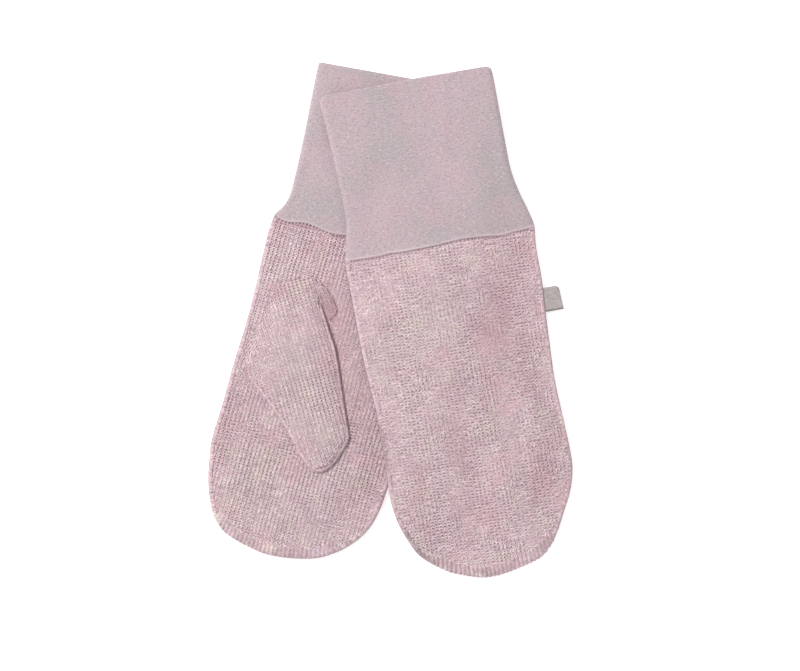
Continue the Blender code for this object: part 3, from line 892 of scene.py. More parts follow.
# %% Folded tape
TAB_ALONG = (25.4, 35.6)
TAB_SIDE, TAB_SLANT = 39.7, 1.0
TAB_REACH = (6.2, 7.6)
TAB_INSIDE = 0.4         # how far inside the seam the tape's ends start
TAPE_THICK, TAPE_FOLD = 0.34, 0.3
TAPE_ROUND = 1.2         # the worn corner at the upper end of the fold
TAPE_ROWS, TAPE_RUN, TAPE_TURN = 14, 9, 8
TAPE_WAVE, WAVE_TURNS, WAVE_START = 0.16, 1.3, 0.6    # the free end waves a little


def folded_tape(name, mitten, base):
    place = mitten_place(mitten)
    level = float(base(*place(TAB_SIDE, sum(TAB_ALONG) / 2))) + KNIT + GAP / 2
    rows = np.linspace(0.0, 1.0, TAPE_ROWS)
    faces_out, faces_in, flat = [], [], []
    for share in rows:
        along = TAB_ALONG[0] + share * (TAB_ALONG[1] - TAB_ALONG[0])
        root = TAB_SIDE - TAB_SLANT * share - TAB_INSIDE
        reach = TAB_REACH[0] + share * (TAB_REACH[1] - TAB_REACH[0]) + TAB_INSIDE
        corner = max(TAPE_ROUND - (along - TAB_ALONG[0]), 0.0)
        reach -= TAPE_ROUND - math.sqrt(max(TAPE_ROUND ** 2 - corner ** 2, 0.0))
        run = np.linspace(0.0, reach - TAPE_FOLD, TAPE_RUN)
        lift = TAPE_WAVE * math.sin(2 * WAVE_TURNS * math.pi * share + WAVE_START)
        top = [(root + a, level + TAPE_FOLD + lift * a / reach) for a in run]
        turn = np.linspace(0.0, math.pi, TAPE_TURN + 2)[1:-1]
        bend = [(root + run[-1] + TAPE_FOLD * math.sin(t),
                 level + TAPE_FOLD * math.cos(t) + lift) for t in turn]
        back = [(root + a, level - TAPE_FOLD + lift * a / reach) for a in run[::-1]]
        line = np.array(top + bend + back)
        ahead = np.gradient(line, axis=0)
        ahead /= np.linalg.norm(ahead, axis=1, keepdims=True)
        side = np.stack([ahead[:, 1], -ahead[:, 0]], axis=1) * TAPE_THICK / 2
        for skin, sign in ((faces_out, -1.0), (faces_in, 1.0)):
            moved = line + sign * side
            x, y = place(moved[:, 0], np.full(len(moved), along))
            skin.append(np.stack([x, y, moved[:, 1]], axis=-1))
        length = np.concatenate([[0.0], np.cumsum(np.hypot(*np.diff(line, axis=0).T))])
        flat.append(np.stack([length, np.full(len(length), along)], axis=-1))
    return shell(name, np.array(faces_in), np.array(faces_out), np.array(flat))


side_tape = folded_tape("side_tape", LEFT_MITTEN, over_thumb)

# %% [markdown]
# ## Colours
#
# The yarn is a melange: fibres dyed rose are carded with pale and grey-brown ones before the
# yarn is spun, so each stitch is a little different and soft patches drift across the cloth.
# Colours are written as sRGB hex values and turned to linear light by one function.

# %% Helpers for colours and nodes
CLOTH_SPECULAR = 0.12


def linear(colour):
    """An sRGB hex colour as linear light, with alpha."""
    parts = [int(colour[i:i + 2], 16) / 255 for i in (1, 3, 5)]
    return (*[c / 12.92 if c <= 0.04045 else ((c + 0.055) / 1.055) ** 2.4 for c in parts], 1.0)


def node(tree, kind, inputs=(), **settings):
    """Adds a node with its settings. Inputs are values, or sockets to link from: a tuple in the
    node's own order, or a dict by name or number."""
    made = tree.nodes.new(kind)
    for key, value in settings.items():
        setattr(made, key, value)
    named = inputs if isinstance(inputs, dict) else dict(enumerate(inputs))
    for key, value in named.items():
        if isinstance(value, bpy.types.NodeSocket):
            tree.links.new(value, made.inputs[key])
        else:
            made.inputs[key].default_value = value
    return made


def material(name, roughness, sheen, sheen_roughness):
    """A new cloth material with its shader, whose even values are set on its own sockets."""
    made = bpy.data.materials.new(name)
    made.use_nodes = True
    shader = made.node_tree.nodes["Principled BSDF"]
    shader.inputs["Roughness"].default_value = roughness
    shader.inputs["Specular IOR Level"].default_value = CLOTH_SPECULAR
    shader.inputs["Sheen Weight"].default_value = sheen
    shader.inputs["Sheen Roughness"].default_value = sheen_roughness
    return made, made.node_tree, shader


print("middle grey in linear light:", round(linear("#808080")[0], 3))

# %% [markdown]
# ## Recipes for colour
#
# Four small recipes serve every cloth: soft random patches, shades laid over each other in
# layers, a colour made lighter or darker by an amount, and a colour with its bump.

# %% Patches, layers, tints and bumps
def patches(tree, where, size, low, high, seed, most=1.0):
    """A soft random mask with patches of about a size in metres, 0 between them."""
    noise = node(tree, "ShaderNodeTexNoise", {"Vector": where, "W": seed, "Scale": 1.0 / size,
                                              "Detail": 2.0, "Roughness": 0.5},
                 noise_dimensions="4D")
    return node(tree, "ShaderNodeMapRange", (noise.outputs[0], low, high, 0.0, most),
                interpolation_type="SMOOTHSTEP").outputs[0]


def painted(tree, base, layers):
    """A base shade under layers, each a share from 0 to 1, which may be a socket, and a shade."""
    colour = linear(base)
    for share, shade in layers:
        colour = node(tree, "ShaderNodeMix", {0: share, 6: colour, 7: linear(shade)},
                      data_type="RGBA").outputs[2]
    return colour


def dressed(tree, shader, colour, height, strength, distance):
    """Gives a material its colour and a bump, whose distance is in metres."""
    bump = node(tree, "ShaderNodeBump",
                {"Height": height, "Strength": strength, "Distance": distance})
    tree.links.new(colour, shader.inputs["Base Color"])
    tree.links.new(bump.outputs[0], shader.inputs["Normal"])


def tinted(tree, colour, amount):
    """A colour made lighter or darker: it is multiplied by an amount."""
    tint = node(tree, "ShaderNodeCombineColor", (amount, amount, amount)).outputs[0]
    return node(tree, "ShaderNodeMix", {0: 1.0, 6: colour, 7: tint}, data_type="RGBA",
                blend_type="MULTIPLY").outputs[2]

# %% [markdown]
# ## Wool yarn, plied and lightly felted
#
# Wool scatters light in its scales and stray fibres, so it is rough with a soft sheen and no
# highlight. Each loop carries a random tone, and patches of pinker, greyer and sandier yarn lie
# over that. A fine noise, at about the size of a twist in the ply, keeps the loops from looking
# moulded. Ribs on the rolled edges and at the tips turn from the light, so they take darker
# copies of the yarn as painted shade, darkest round the tips.

# %% Yarn materials
DUSK, ROSE, PALE = "#d6bdc3", "#ead7da", "#f2e5e7"
# darker copies of the yarn: painted shade for ribs and seam bridges that turn from the light
EDGE_YARN_IN_SHADE = ("#bfa4aa", "#d0b7bd", "#dcc6cb")
TIP_YARN_IN_SHADE = ("#b1999e", "#c2aaaf", "#ceb8bc")
SAND, MAUVE, PINK = "#e4d8cd", "#d5bdc7", "#e2bac2"
FLUSHED, SANDED = "#d2aab3", "#d8cdc8"
HEATHER = (
    # size in metres, where the patches start and where they are full, seed, shade
    (0.013, 0.50, 0.70, 1.7, PINK),
    (0.007, 0.52, 0.70, 4.1, SAND),
    (0.009, 0.50, 0.70, 8.3, MAUVE),
)
HEATHER_SHARE, ZONE_SHARE = 0.55, 0.34    # how far a patch and a broad zone change the yarn
BRIGHT_FROM = 0.55        # tones above this lean to the pale shade
PLY_TWIST = 0.0009        # metres, drawn about twice as coarse as real so that it shows
FIBRE_NOISE, FIBRE_TINT = (0.3, 0.7), (0.72, 1.22)
YARN_BUMP = 0.0003


def melange(tree, where, dusk, rose, pale):
    """The heathered yarn's colour, from each stitch's tone and from patches in the cloth."""
    tone = node(tree, "ShaderNodeAttribute", attribute_name="tone").outputs["Fac"]
    bright = node(tree, "ShaderNodeMapRange", (tone, BRIGHT_FROM, 1.0)).outputs[0]
    layers = [(tone, rose), (bright, pale)]
    for size, low, high, seed, shade in HEATHER:
        layers.append((patches(tree, where, size, low, high, seed, HEATHER_SHARE), shade))
    blush = node(tree, "ShaderNodeAttribute", attribute_name="blush").outputs["Fac"]
    for end, shade in ((1.0, FLUSHED), (-1.0, SANDED)):
        share = node(tree, "ShaderNodeMapRange", (blush, 0.0, end, 0.0, ZONE_SHARE))
        layers.append((share.outputs[0], shade))
    return painted(tree, dusk, layers)


def wool_yarn(name, dusk, rose, pale):
    made, tree, shader = material(name, roughness=0.92, sheen=0.22, sheen_roughness=0.55)
    where = node(tree, "ShaderNodeTexCoord").outputs["Object"]
    fibres = node(tree, "ShaderNodeTexNoise", {"Vector": where, "Scale": 1.0 / PLY_TWIST,
                                               "Detail": 2.0}).outputs[0]
    fleck = node(tree, "ShaderNodeMapRange", (fibres, *FIBRE_NOISE, *FIBRE_TINT)).outputs[0]
    colour = tinted(tree, melange(tree, where, dusk, rose, pale), fleck)
    dressed(tree, shader, colour, fibres, 0.6, YARN_BUMP)
    return made


yarn_material = wool_yarn("wool_yarn_plied_melange", DUSK, ROSE, PALE)
# the same yarn in painted shade, for the rolled edges, the thumb's edge and the seams' bridges,
# and darker round the tips
edge_shade_material = wool_yarn("wool_yarn_over_edge_painted_shade", *EDGE_YARN_IN_SHADE)
tip_shade_material = wool_yarn("wool_yarn_ribbed_at_tip_painted_shade", *TIP_YARN_IN_SHADE)
print("yarns made:", len(bpy.data.materials))

# %% [markdown]
# ## The ground under the loops
#
# The shells below the loops are the same yarn, seen deep between the stitches, where little
# light gets, so their colour is painted shade: darker than the yarn, with a painted dark hole in
# the middle of each stitch. The hidden thumb has no loops, so the same recipe in lighter shades
# and with deeper holes stands for its whole knit, and its holes are darkened with painted shade.

# %% Ground materials
WALE, COURSE = 1.74, 1.24     # width and height of one stitch, in millimetres
# painted shade between the loops: darker where the knit is more open, darkest in the holes
GROUND, OPEN, DEEP = "#c4a8ad", "#ad8f95", "#886b71"       # open knit of the right mitten
# the same painted shade, lighter, for the closer knit of the left mitten
CLOSE_GROUND, CLOSE_OPEN, CLOSE_DEEP = "#cfb4ba", "#b99ba2", "#967a80"    # closer knit
HOLE_START, HOLE_FULL = -0.2, 1.6      # of the sum of both waves, which runs from -2 to 2
GROUND_DEPTH, PLAIN_DEPTH = 0.2, 0.35  # of the holes, in millimetres


def knit_cells(tree, wale, course):
    """A mask along the cloth's UV map: 1 in the middle of each stitch's hole, 0 on the yarn."""
    flat = node(tree, "ShaderNodeUVMap", uv_map="cloth").outputs[0]
    parts = node(tree, "ShaderNodeSeparateXYZ", (flat,)).outputs
    waves = []
    for socket, pitch in ((parts[0], wale), (parts[1], course)):
        turns = node(tree, "ShaderNodeMath", (socket, 2 * math.pi / (pitch * MM)),
                     operation="MULTIPLY")
        waves.append(node(tree, "ShaderNodeMath", (turns.outputs[0],),
                          operation="COSINE").outputs[0])
    total = node(tree, "ShaderNodeMath", waves, operation="ADD").outputs[0]
    return node(tree, "ShaderNodeMapRange", (total, HOLE_START, HOLE_FULL),
                interpolation_type="SMOOTHSTEP").outputs[0]


def knit_ground(name, yarn_shade, open_shade, hole_shade, depth):
    """A plain knitted surface: holes that are deeper than the yarn round them, and painted darker
    as shade.
    """
    made, tree, shader = material(name, roughness=0.95, sheen=0.15, sheen_roughness=0.6)
    where = node(tree, "ShaderNodeTexCoord").outputs["Object"]
    holes = knit_cells(tree, WALE, COURSE)
    # patches where the knit is more open, so more painted shade shows between the loops
    drift = patches(tree, where, size=0.009, low=0.36, high=0.68, seed=2.4)
    colour = painted(tree, yarn_shade, [(drift, open_shade), (holes, hole_shade)])
    up = node(tree, "ShaderNodeMath", (1.0, holes), operation="SUBTRACT").outputs[0]
    dressed(tree, shader, colour, up, 0.6, depth * MM)
    return made


ground_material = knit_ground("wool_knit_ground_in_shade", GROUND, OPEN, DEEP, GROUND_DEPTH)
close_ground_material = knit_ground("wool_knit_ground_in_lighter_shade_of_closer_knit", CLOSE_GROUND, CLOSE_OPEN,
                                    CLOSE_DEEP, GROUND_DEPTH)
# the small fold lies in a hollow, so its ground is painted in the darkest shade
fold_shade_ground_material = knit_ground("wool_knit_ground_in_deep_shade_of_fold", OPEN, DEEP, DEEP,
                                   GROUND_DEPTH)
plain_knit_material = knit_ground("wool_mesh_knit_plain_with_painted_shade_in_holes", ROSE, GROUND, DEEP, PLAIN_DEPTH)
print("with the grounds:", len(bpy.data.materials))

# %% [markdown]
# ## Fine jersey, melange
#
# The cuffs are knitted so finely that single stitches are about half a millimetre, too small to
# show one by one in this render. What shows is the melange: short flecks along the courses,
# a dusting of darker fibres and broad soft patches, greyer than the hands' yarn. So the wales
# are drawn at 0.9 mm as a low bump, and the flecks are noise stretched along the courses.

# %% Jersey material
JERSEY_ROSE, JERSEY_GREY, JERSEY_PALE, JERSEY_FLECK = "#b6a2a8", "#a99ea0", "#c9bbbe", "#86777b"
JERSEY_MAUVE, JERSEY_PINK = "#ab9ca5", "#ba9fa5"
# paler where the jersey is stretched over the turned-up seam, with a painted highlight where the
# fold catches light
JERSEY_RIDGE_HIGHLIGHT = "#d6c5c8"      # stretched over the turned-up seam, where the fold catches light
JERSEY_SHARE = 0.55           # how far a patch changes the jersey
JERSEY_WALE, WALE_BUMP = 0.9, 0.25
FLECK_SCALE = (560.0, 2100.0, 1.0)    # flecks for each metre across and along the cuff
DUST_SCALE = 1300.0
RIDGE_FROM, RIDGE_TO = -0.0016, -0.0009    # metres from the seam, where the ridge starts to show
JERSEY_BUMP = 0.00012


def fine_jersey():
    made, tree, shader = material("fine_jersey_knitted_melange", roughness=0.88, sheen=0.25,
                                  sheen_roughness=0.5)
    where = node(tree, "ShaderNodeTexCoord").outputs["Object"]
    flat = node(tree, "ShaderNodeUVMap", uv_map="cloth").outputs[0]
    across, down = node(tree, "ShaderNodeSeparateXYZ", (flat,)).outputs[:2]
    layers = [(patches(tree, where, size=0.030, low=0.35, high=0.65, seed=3.3), JERSEY_GREY)]
    for size, seed, shade in ((0.007, 6.6, JERSEY_MAUVE), (0.009, 9.4, JERSEY_PINK)):
        layers.append((patches(tree, where, size, 0.48, 0.68, seed, JERSEY_SHARE), shade))

    streaks = node(tree, "ShaderNodeMapping", {0: flat, 3: FLECK_SCALE}).outputs[0]
    flecks = node(tree, "ShaderNodeTexNoise",
                  {"Vector": streaks, "Scale": 1.0, "Detail": 3.0}).outputs[0]
    light = node(tree, "ShaderNodeMapRange", (flecks, 0.48, 0.68, 0.0, 0.64)).outputs[0]
    dust = node(tree, "ShaderNodeTexNoise",
                {"Vector": flat, "Scale": DUST_SCALE, "Detail": 2.0}).outputs[0]
    dark = node(tree, "ShaderNodeMapRange", (dust, 0.53, 0.70, 0.0, 0.62)).outputs[0]
    layers += [(light, JERSEY_PALE), (dark, JERSEY_FLECK)]

    # a painted highlight on the seam's ridge, with the paler stretched jersey under it, uneven in
    # patches
    ridge = node(tree, "ShaderNodeMapRange", (down, RIDGE_FROM, RIDGE_TO, 0.0, 0.55),
                 interpolation_type="SMOOTHSTEP").outputs[0]
    mask = patches(tree, where, size=0.012, low=0.3, high=0.7, seed=5.2)
    wear_and_highlight_noise = node(tree, "ShaderNodeMapRange", {0: mask, 3: 0.35, 4: 1.0}).outputs[0]
    ridge = node(tree, "ShaderNodeMath", (ridge, wear_and_highlight_noise), operation="MULTIPLY").outputs[0]
    layers.append((ridge, JERSEY_RIDGE_HIGHLIGHT))

    turns = node(tree, "ShaderNodeMath", (across, 2 * math.pi / (JERSEY_WALE * MM)),
                 operation="MULTIPLY").outputs[0]
    wales = node(tree, "ShaderNodeMath", (turns,), operation="SINE").outputs[0]
    height = node(tree, "ShaderNodeMath", (wales, WALE_BUMP, flecks),
                  operation="MULTIPLY_ADD").outputs[0]
    dressed(tree, shader, painted(tree, JERSEY_ROSE, layers), height, 0.5, JERSEY_BUMP)
    return made


jersey_material = fine_jersey()
print("jersey wales across a cuff:", round((RIGHT_CUFF[0][2] - RIGHT_CUFF[0][1]) / JERSEY_WALE))

# %% [markdown]
# ## Woven tape
#
# A garment tape is polyester woven as a fine twill, smoother than knit, with a firm selvedge at
# each long edge, which frays a little. The lower one shows. The weave follows the strip's UV map.

# %% Tape material
TAPE_LIGHT, TAPE_SHADE, TAPE_EDGE = "#bfb6b4", "#9f9694", "#7d7472"
TWILL = 0.45              # millimetres from one rib of the twill to the next
SELVEDGE = (0.0009, 0.0002)    # metres from the tape's edge, where the selvedge starts and fills
FRAY_SCALE, FRAY_NOISE, FRAY_TINT = 700.0, (0.35, 0.65), (0.85, 1.1)
TAPE_BUMP = 0.0001


def woven_tape():
    made, tree, shader = material("woven_polyester_tape_twill", roughness=0.7, sheen=0.1,
                                  sheen_roughness=0.4)
    flat = node(tree, "ShaderNodeUVMap", uv_map="cloth").outputs[0]
    run, width = node(tree, "ShaderNodeSeparateXYZ", (flat,)).outputs[:2]
    both = node(tree, "ShaderNodeMath", (run, width), operation="ADD").outputs[0]
    turns = node(tree, "ShaderNodeMath", (both, 2 * math.pi / (TWILL * MM)),
                 operation="MULTIPLY").outputs[0]
    ribs = node(tree, "ShaderNodeMath", (turns,), operation="SINE").outputs[0]
    share = node(tree, "ShaderNodeMapRange", (ribs, -1.0, 1.0, 0.15, 0.85)).outputs[0]
    wear_and_highlight_noise = node(tree, "ShaderNodeTexNoise", {"Vector": flat, "Scale": FRAY_SCALE,
                                             "Detail": 2.0}).outputs[0]
    fray = node(tree, "ShaderNodeMapRange", (wear_and_highlight_noise, *FRAY_NOISE, *FRAY_TINT)).outputs[0]
    weave = tinted(tree, painted(tree, TAPE_SHADE, [(share, TAPE_LIGHT)]), fray)
    edge = TAB_ALONG[1] * MM
    selvedge = node(tree, "ShaderNodeMapRange",
                    (width, edge - SELVEDGE[0], edge - SELVEDGE[1])).outputs[0]
    colour = node(tree, "ShaderNodeMix", {0: selvedge, 6: weave, 7: linear(TAPE_EDGE)},
                  data_type="RGBA").outputs[2]
    dressed(tree, shader, colour, ribs, 0.5, TAPE_BUMP)
    return made


tape_material = woven_tape()
print("materials made:", len(bpy.data.materials))

# %% [markdown]
# ## One stitch
#
# A knitted loop is an arch: its two feet cross the loop below, its legs stand a little proud,
# and its head is held down by the loop above. The open middle is the small hole that gives this
# knit its grid of dots. There are thousands of loops, so one is a path of a few points with a
# three-sided section and closed ends. Most are smooth shaded. A path's left half is written in
# shares of a wale and of a course, and its right half is the mirror image.

# %% A strand of yarn
def strand(name, path, radius, rise, smooth=True):
    """A closed three-sided strand, its ridge on top, along a path of points in millimetres."""
    path = np.array(path, dtype=float)
    ahead = np.gradient(path, axis=0)
    ahead /= np.linalg.norm(ahead, axis=1, keepdims=True)
    side = np.stack([-ahead[:, 1], ahead[:, 0], np.zeros(len(path))], axis=1)
    side /= np.linalg.norm(side, axis=1, keepdims=True)
    for i in range(1, len(side)):
        if side[i] @ side[i - 1] < 0.0:
            side[i] *= -1.0
    up = np.cross(ahead, side)
    up *= np.sign(up[len(up) // 2, 2])
    reach = side * np.broadcast_to(radius, len(path))[:, None]
    section = np.stack([path + reach - up * rise / 2, path - reach - up * rise / 2,
                        path + up * rise], axis=1)
    points = (section.reshape(-1, 3) * MM).tolist()
    faces = [(2, 1, 0), tuple(3 * len(path) - 3 + i for i in range(3))]
    for i in range(len(path) - 1):
        for a, b in ((0, 1), (1, 2), (2, 0)):
            faces.append((3 * i + a, 3 * i + b, 3 * i + 3 + b, 3 * i + 3 + a))
    data = bpy.data.meshes.new(name)
    data.from_pydata(points, [], faces)
    mesh = bmesh.new()
    mesh.from_mesh(data)
    bmesh.ops.recalc_face_normals(mesh, faces=mesh.faces)
    mesh.to_mesh(data)
    mesh.free()
    if smooth:
        data.shade_smooth()
    obj = bpy.data.objects.new(name, data)
    bpy.context.scene.collection.objects.link(obj)
    return obj


def stitch_path(*left_half):
    """A whole path in millimetres from its left half, in shares of a wale and of a course."""
    half = [(x * WALE, y * COURSE, z) for x, y, z in left_half]
    return half + [(-x, y, z) for x, y, z in half[-2::-1]]


# %% Loops
YARN_RADIUS, YARN_RISE = 0.33, 0.24
HEAD_RADIUS = 0.24        # the head is pulled thin and down by the loop that hangs on it
WALE_WIDTHS = [YARN_RADIUS] * 3 + [HEAD_RADIUS] + [YARN_RADIUS] * 3
FOLD_SHARE = 0.74         # the stitches of the small fold are drawn together
FOLD_RADIUS, FLAT_RISE = 0.17, 0.2
wale_loop = strand("loop_wale", stitch_path(
    (-0.49, -0.48, 0.04), (-0.38, -0.10, 0.22), (-0.31, 0.30, 0.20), (0.0, 0.52, 0.0)),
    WALE_WIDTHS, YARN_RISE)
course_loop = strand("loop_course", stitch_path(
    (-0.50, -0.34, 0.06), (-0.38, -0.04, 0.08), (-0.24, 0.24, 0.17), (0.0, 0.34, 0.20)),
    YARN_RADIUS, YARN_RISE)
fold_loop = strand("loop_fold", stitch_path(
    (-0.36, -0.35, 0.03), (-0.28, -0.08, 0.16), (-0.22, 0.22, 0.15), (0.0, 0.38, 0.02)),
    FOLD_RADIUS, FLAT_RISE)
back_loop = strand("loop_back", stitch_path(
    (-0.50, -0.40, 0.0), (-0.32, 0.08, 0.06), (0.0, 0.50, 0.04)),
    YARN_RADIUS, FLAT_RISE)
print("faces in a loop:", len(wale_loop.data.polygons), "and at the back:",
      len(back_loop.data.polygons))

# %% [markdown]
# ## The knit as a field of loops
#
# The knit repeats on a grid, follows the cloth's shape, and is never quite even, which is work
# for Geometry Nodes. The tree first makes a grid of points in a mitten's frame, one for each
# stitch, and skews its courses. A slow noise drifts the points and a quick one shakes each a
# little. Each point gets a tone for its yarn, from streaks along the courses and a share of its
# own.

# %% The grid of stitches
FIELD_INPUTS = (
    ("Geometry", "Geometry"), ("Skin", "Object"), ("Wale loop", "Object"),
    ("Course loop", "Object"), ("Origin", "Vector"), ("Turn", "Float"), ("Across", "Float"),
    ("Along", "Float"), ("Wale pitch", "Float"), ("Course pitch", "Float"), ("Skew", "Float"),
    ("Drift", "Float"), ("Shake", "Float"), ("Wale share", "Float"), ("Side", "Float"),
    ("Clear", "Float"), ("Seed", "Int"), ("Yarn", "Material"),
)
DRIFT_SCALE = 55.0                    # for each metre, so the cloth drifts every 18 mm or so
STREAKS = (190.0, 700.0, 0.0)         # streaks of tone are longer along the courses
STREAK_TONE, OWN_TONE = 0.9, 0.26
TONE_SEED = 4.0                       # added to the seed; 1, 2 and 3 are for the sizes


def group_inputs(tree, sockets):
    """The named inputs of a tree, and its geometry output."""
    for name, kind in sockets:
        tree.interface.new_socket(name=name, in_out="INPUT", socket_type=f"NodeSocket{kind}")
    tree.interface.new_socket(name="Geometry", in_out="OUTPUT",
                              socket_type="NodeSocketGeometry")
    return node(tree, "NodeGroupInput").outputs


def finished(tree, given, instances):
    """Ends a tree: its instances become real, take the yarn and go to the output."""
    solid = node(tree, "GeometryNodeRealizeInstances", {"Geometry": instances}).outputs[0]
    solid = node(tree, "GeometryNodeSetMaterial",
                 {"Geometry": solid, "Material": given["Yarn"]}).outputs[0]
    node(tree, "NodeGroupOutput", (solid,))
    return tree


def own_value(tree, given, add, low, high):
    """A random value for each stitch, from the tree's seed with a number added to it."""
    seed = node(tree, "ShaderNodeMath", (given["Seed"], add), operation="ADD").outputs[0]
    return node(tree, "FunctionNodeRandomValue", {2: low, 3: high, 8: seed},
                data_type="FLOAT").outputs[1]


def stitch_grid(tree, given):
    """The grid's geometry, and fields for each stitch's place in world x and y and its tone."""
    sides = {}
    for axis, reach, pitch in (("X", given["Across"], given["Wale pitch"]),
                               ("Y", given["Along"], given["Course pitch"])):
        share = node(tree, "ShaderNodeMath", (reach, pitch), operation="DIVIDE").outputs[0]
        steps = node(tree, "ShaderNodeMath", (share,), operation="CEIL").outputs[0]
        sides[f"Size {axis}"] = node(tree, "ShaderNodeMath", (steps, pitch),
                                     operation="MULTIPLY").outputs[0]
        sides[f"Vertices {axis}"] = node(tree, "ShaderNodeMath", (steps, 1.0),
                                         operation="ADD").outputs[0]
    grid = node(tree, "GeometryNodeMeshGrid", sides).outputs[0]

    where = node(tree, "GeometryNodeInputPosition").outputs[0]
    across, up = node(tree, "ShaderNodeSeparateXYZ", (where,)).outputs[:2]
    half = node(tree, "ShaderNodeMath", (given["Along"], 0.5), operation="MULTIPLY").outputs[0]
    up = node(tree, "ShaderNodeMath", (up, half), operation="SUBTRACT").outputs[0]
    up = node(tree, "ShaderNodeMath", (across, given["Skew"], up),
              operation="MULTIPLY_ADD").outputs[0]
    point = node(tree, "ShaderNodeCombineXYZ", (across, up)).outputs[0]

    slow = node(tree, "ShaderNodeTexNoise",
                {"Vector": point, "W": given["Seed"], "Scale": DRIFT_SCALE, "Detail": 1.0},
                noise_dimensions="4D").outputs[1]
    quick = node(tree, "ShaderNodeTexWhiteNoise", {"Vector": point, "W": given["Seed"]},
                 noise_dimensions="4D").outputs[1]
    for noise, reach in ((slow, given["Drift"]), (quick, given["Shake"])):
        centred = node(tree, "ShaderNodeVectorMath", (noise, (0.5, 0.5, 0.5)),
                       operation="SUBTRACT").outputs[0]
        step = node(tree, "ShaderNodeVectorMath", {0: centred, "Scale": reach},
                    operation="SCALE").outputs[0]
        point = node(tree, "ShaderNodeVectorMath", (point, step), operation="ADD").outputs[0]
    point = node(tree, "ShaderNodeVectorMath", (point, (1.0, 1.0, 0.0)),
                 operation="MULTIPLY").outputs[0]

    stretched = node(tree, "ShaderNodeVectorMath", (point, STREAKS),
                     operation="MULTIPLY").outputs[0]
    streaks = node(tree, "ShaderNodeTexNoise",
                   {"Vector": stretched, "W": given["Seed"], "Scale": 1.0, "Detail": 1.0},
                   noise_dimensions="4D").outputs[0]
    streaks = node(tree, "ShaderNodeMath", (streaks, 0.5), operation="SUBTRACT").outputs[0]
    own = own_value(tree, given, TONE_SEED, -OWN_TONE, OWN_TONE)
    tone = node(tree, "ShaderNodeMath", (streaks, STREAK_TONE, own),
                operation="MULTIPLY_ADD").outputs[0]
    tone = node(tree, "ShaderNodeMath", (tone, 0.5), operation="ADD").outputs[0]

    point = node(tree, "ShaderNodeVectorRotate", {"Vector": point, "Angle": given["Turn"]},
                 rotation_type="Z_AXIS").outputs[0]
    point = node(tree, "ShaderNodeVectorMath", (point, given["Origin"]),
                 operation="ADD").outputs[0]
    return grid, point, tone


# %% [markdown]
# ## Dropping the stitches on the shell
#
# A ray from each point, down on a top or up on an underside, finds the shell. Points that miss
# it, or that lie too near its rim, are deleted. The others go where the ray hits and keep the
# cloth's normal there.

# %% Rays on the shell
RAY_START, RAY_REACH = 0.05, 0.2      # metres from the table, and on from there


def dropped(tree, given, grid, point, tone):
    """The points of the grid that lie on the shell, with its normal as "lie" and their tone."""
    start = node(tree, "ShaderNodeMath", (given["Side"], RAY_START),
                 operation="MULTIPLY").outputs[0]
    start = node(tree, "ShaderNodeCombineXYZ", {2: start}).outputs[0]
    start = node(tree, "ShaderNodeVectorMath", (point, start), operation="ADD").outputs[0]
    towards = node(tree, "ShaderNodeMath", (given["Side"], -1.0),
                   operation="MULTIPLY").outputs[0]
    towards = node(tree, "ShaderNodeCombineXYZ", {2: towards}).outputs[0]
    skin = node(tree, "GeometryNodeObjectInfo", {"Object": given["Skin"]}).outputs["Geometry"]
    rim = node(tree, "GeometryNodeInputNamedAttribute", {"Name": "rim_distance"},
               data_type="FLOAT").outputs[0]
    ray = node(tree, "GeometryNodeRaycast", {
        "Target Geometry": skin, "Attribute": rim, "Source Position": start,
        "Ray Direction": towards, "Ray Length": RAY_REACH}, data_type="FLOAT").outputs
    inside = node(tree, "FunctionNodeCompare", {0: ray["Attribute"], 1: given["Clear"]},
                  data_type="FLOAT", operation="GREATER_THAN").outputs[0]
    good = node(tree, "FunctionNodeBooleanMath", (ray["Is Hit"], inside),
                operation="AND").outputs[0]
    kept = grid
    for name, kind, value in (("lie", "FLOAT_VECTOR", ray["Hit Normal"]),
                              ("met", "BOOLEAN", good), ("tone", "FLOAT", tone)):
        kept = node(tree, "GeometryNodeStoreNamedAttribute",
                    {"Geometry": kept, "Name": name, "Value": value},
                    data_type=kind, domain="POINT").outputs[0]
    kept = node(tree, "GeometryNodeSetPosition",
                {"Geometry": kept, "Position": ray["Hit Position"]}).outputs[0]
    met = node(tree, "GeometryNodeInputNamedAttribute", {"Name": "met"},
               data_type="BOOLEAN").outputs[0]
    missed = node(tree, "FunctionNodeBooleanMath", (met,), operation="NOT").outputs[0]
    return node(tree, "GeometryNodeDeleteGeometry", {"Geometry": kept, "Selection": missed},
                domain="POINT", mode="ALL").outputs[0]


# %% [markdown]
# ## A loop on each point
#
# A loop is set on each point that is left, turned to the cloth's normal and wales and stretched
# a little. Some patches take the tall loop and some the wide one, as the tension of a
# hand-finished knit drifts.

# %% The knit tree
WOBBLE = 0.12                         # radians that a loop may turn to either side
STRETCHES = ((0.92, 1.08), (0.88, 1.12), (0.70, 1.2))     # across, along and in height
TENSION_SCALE = 110.0


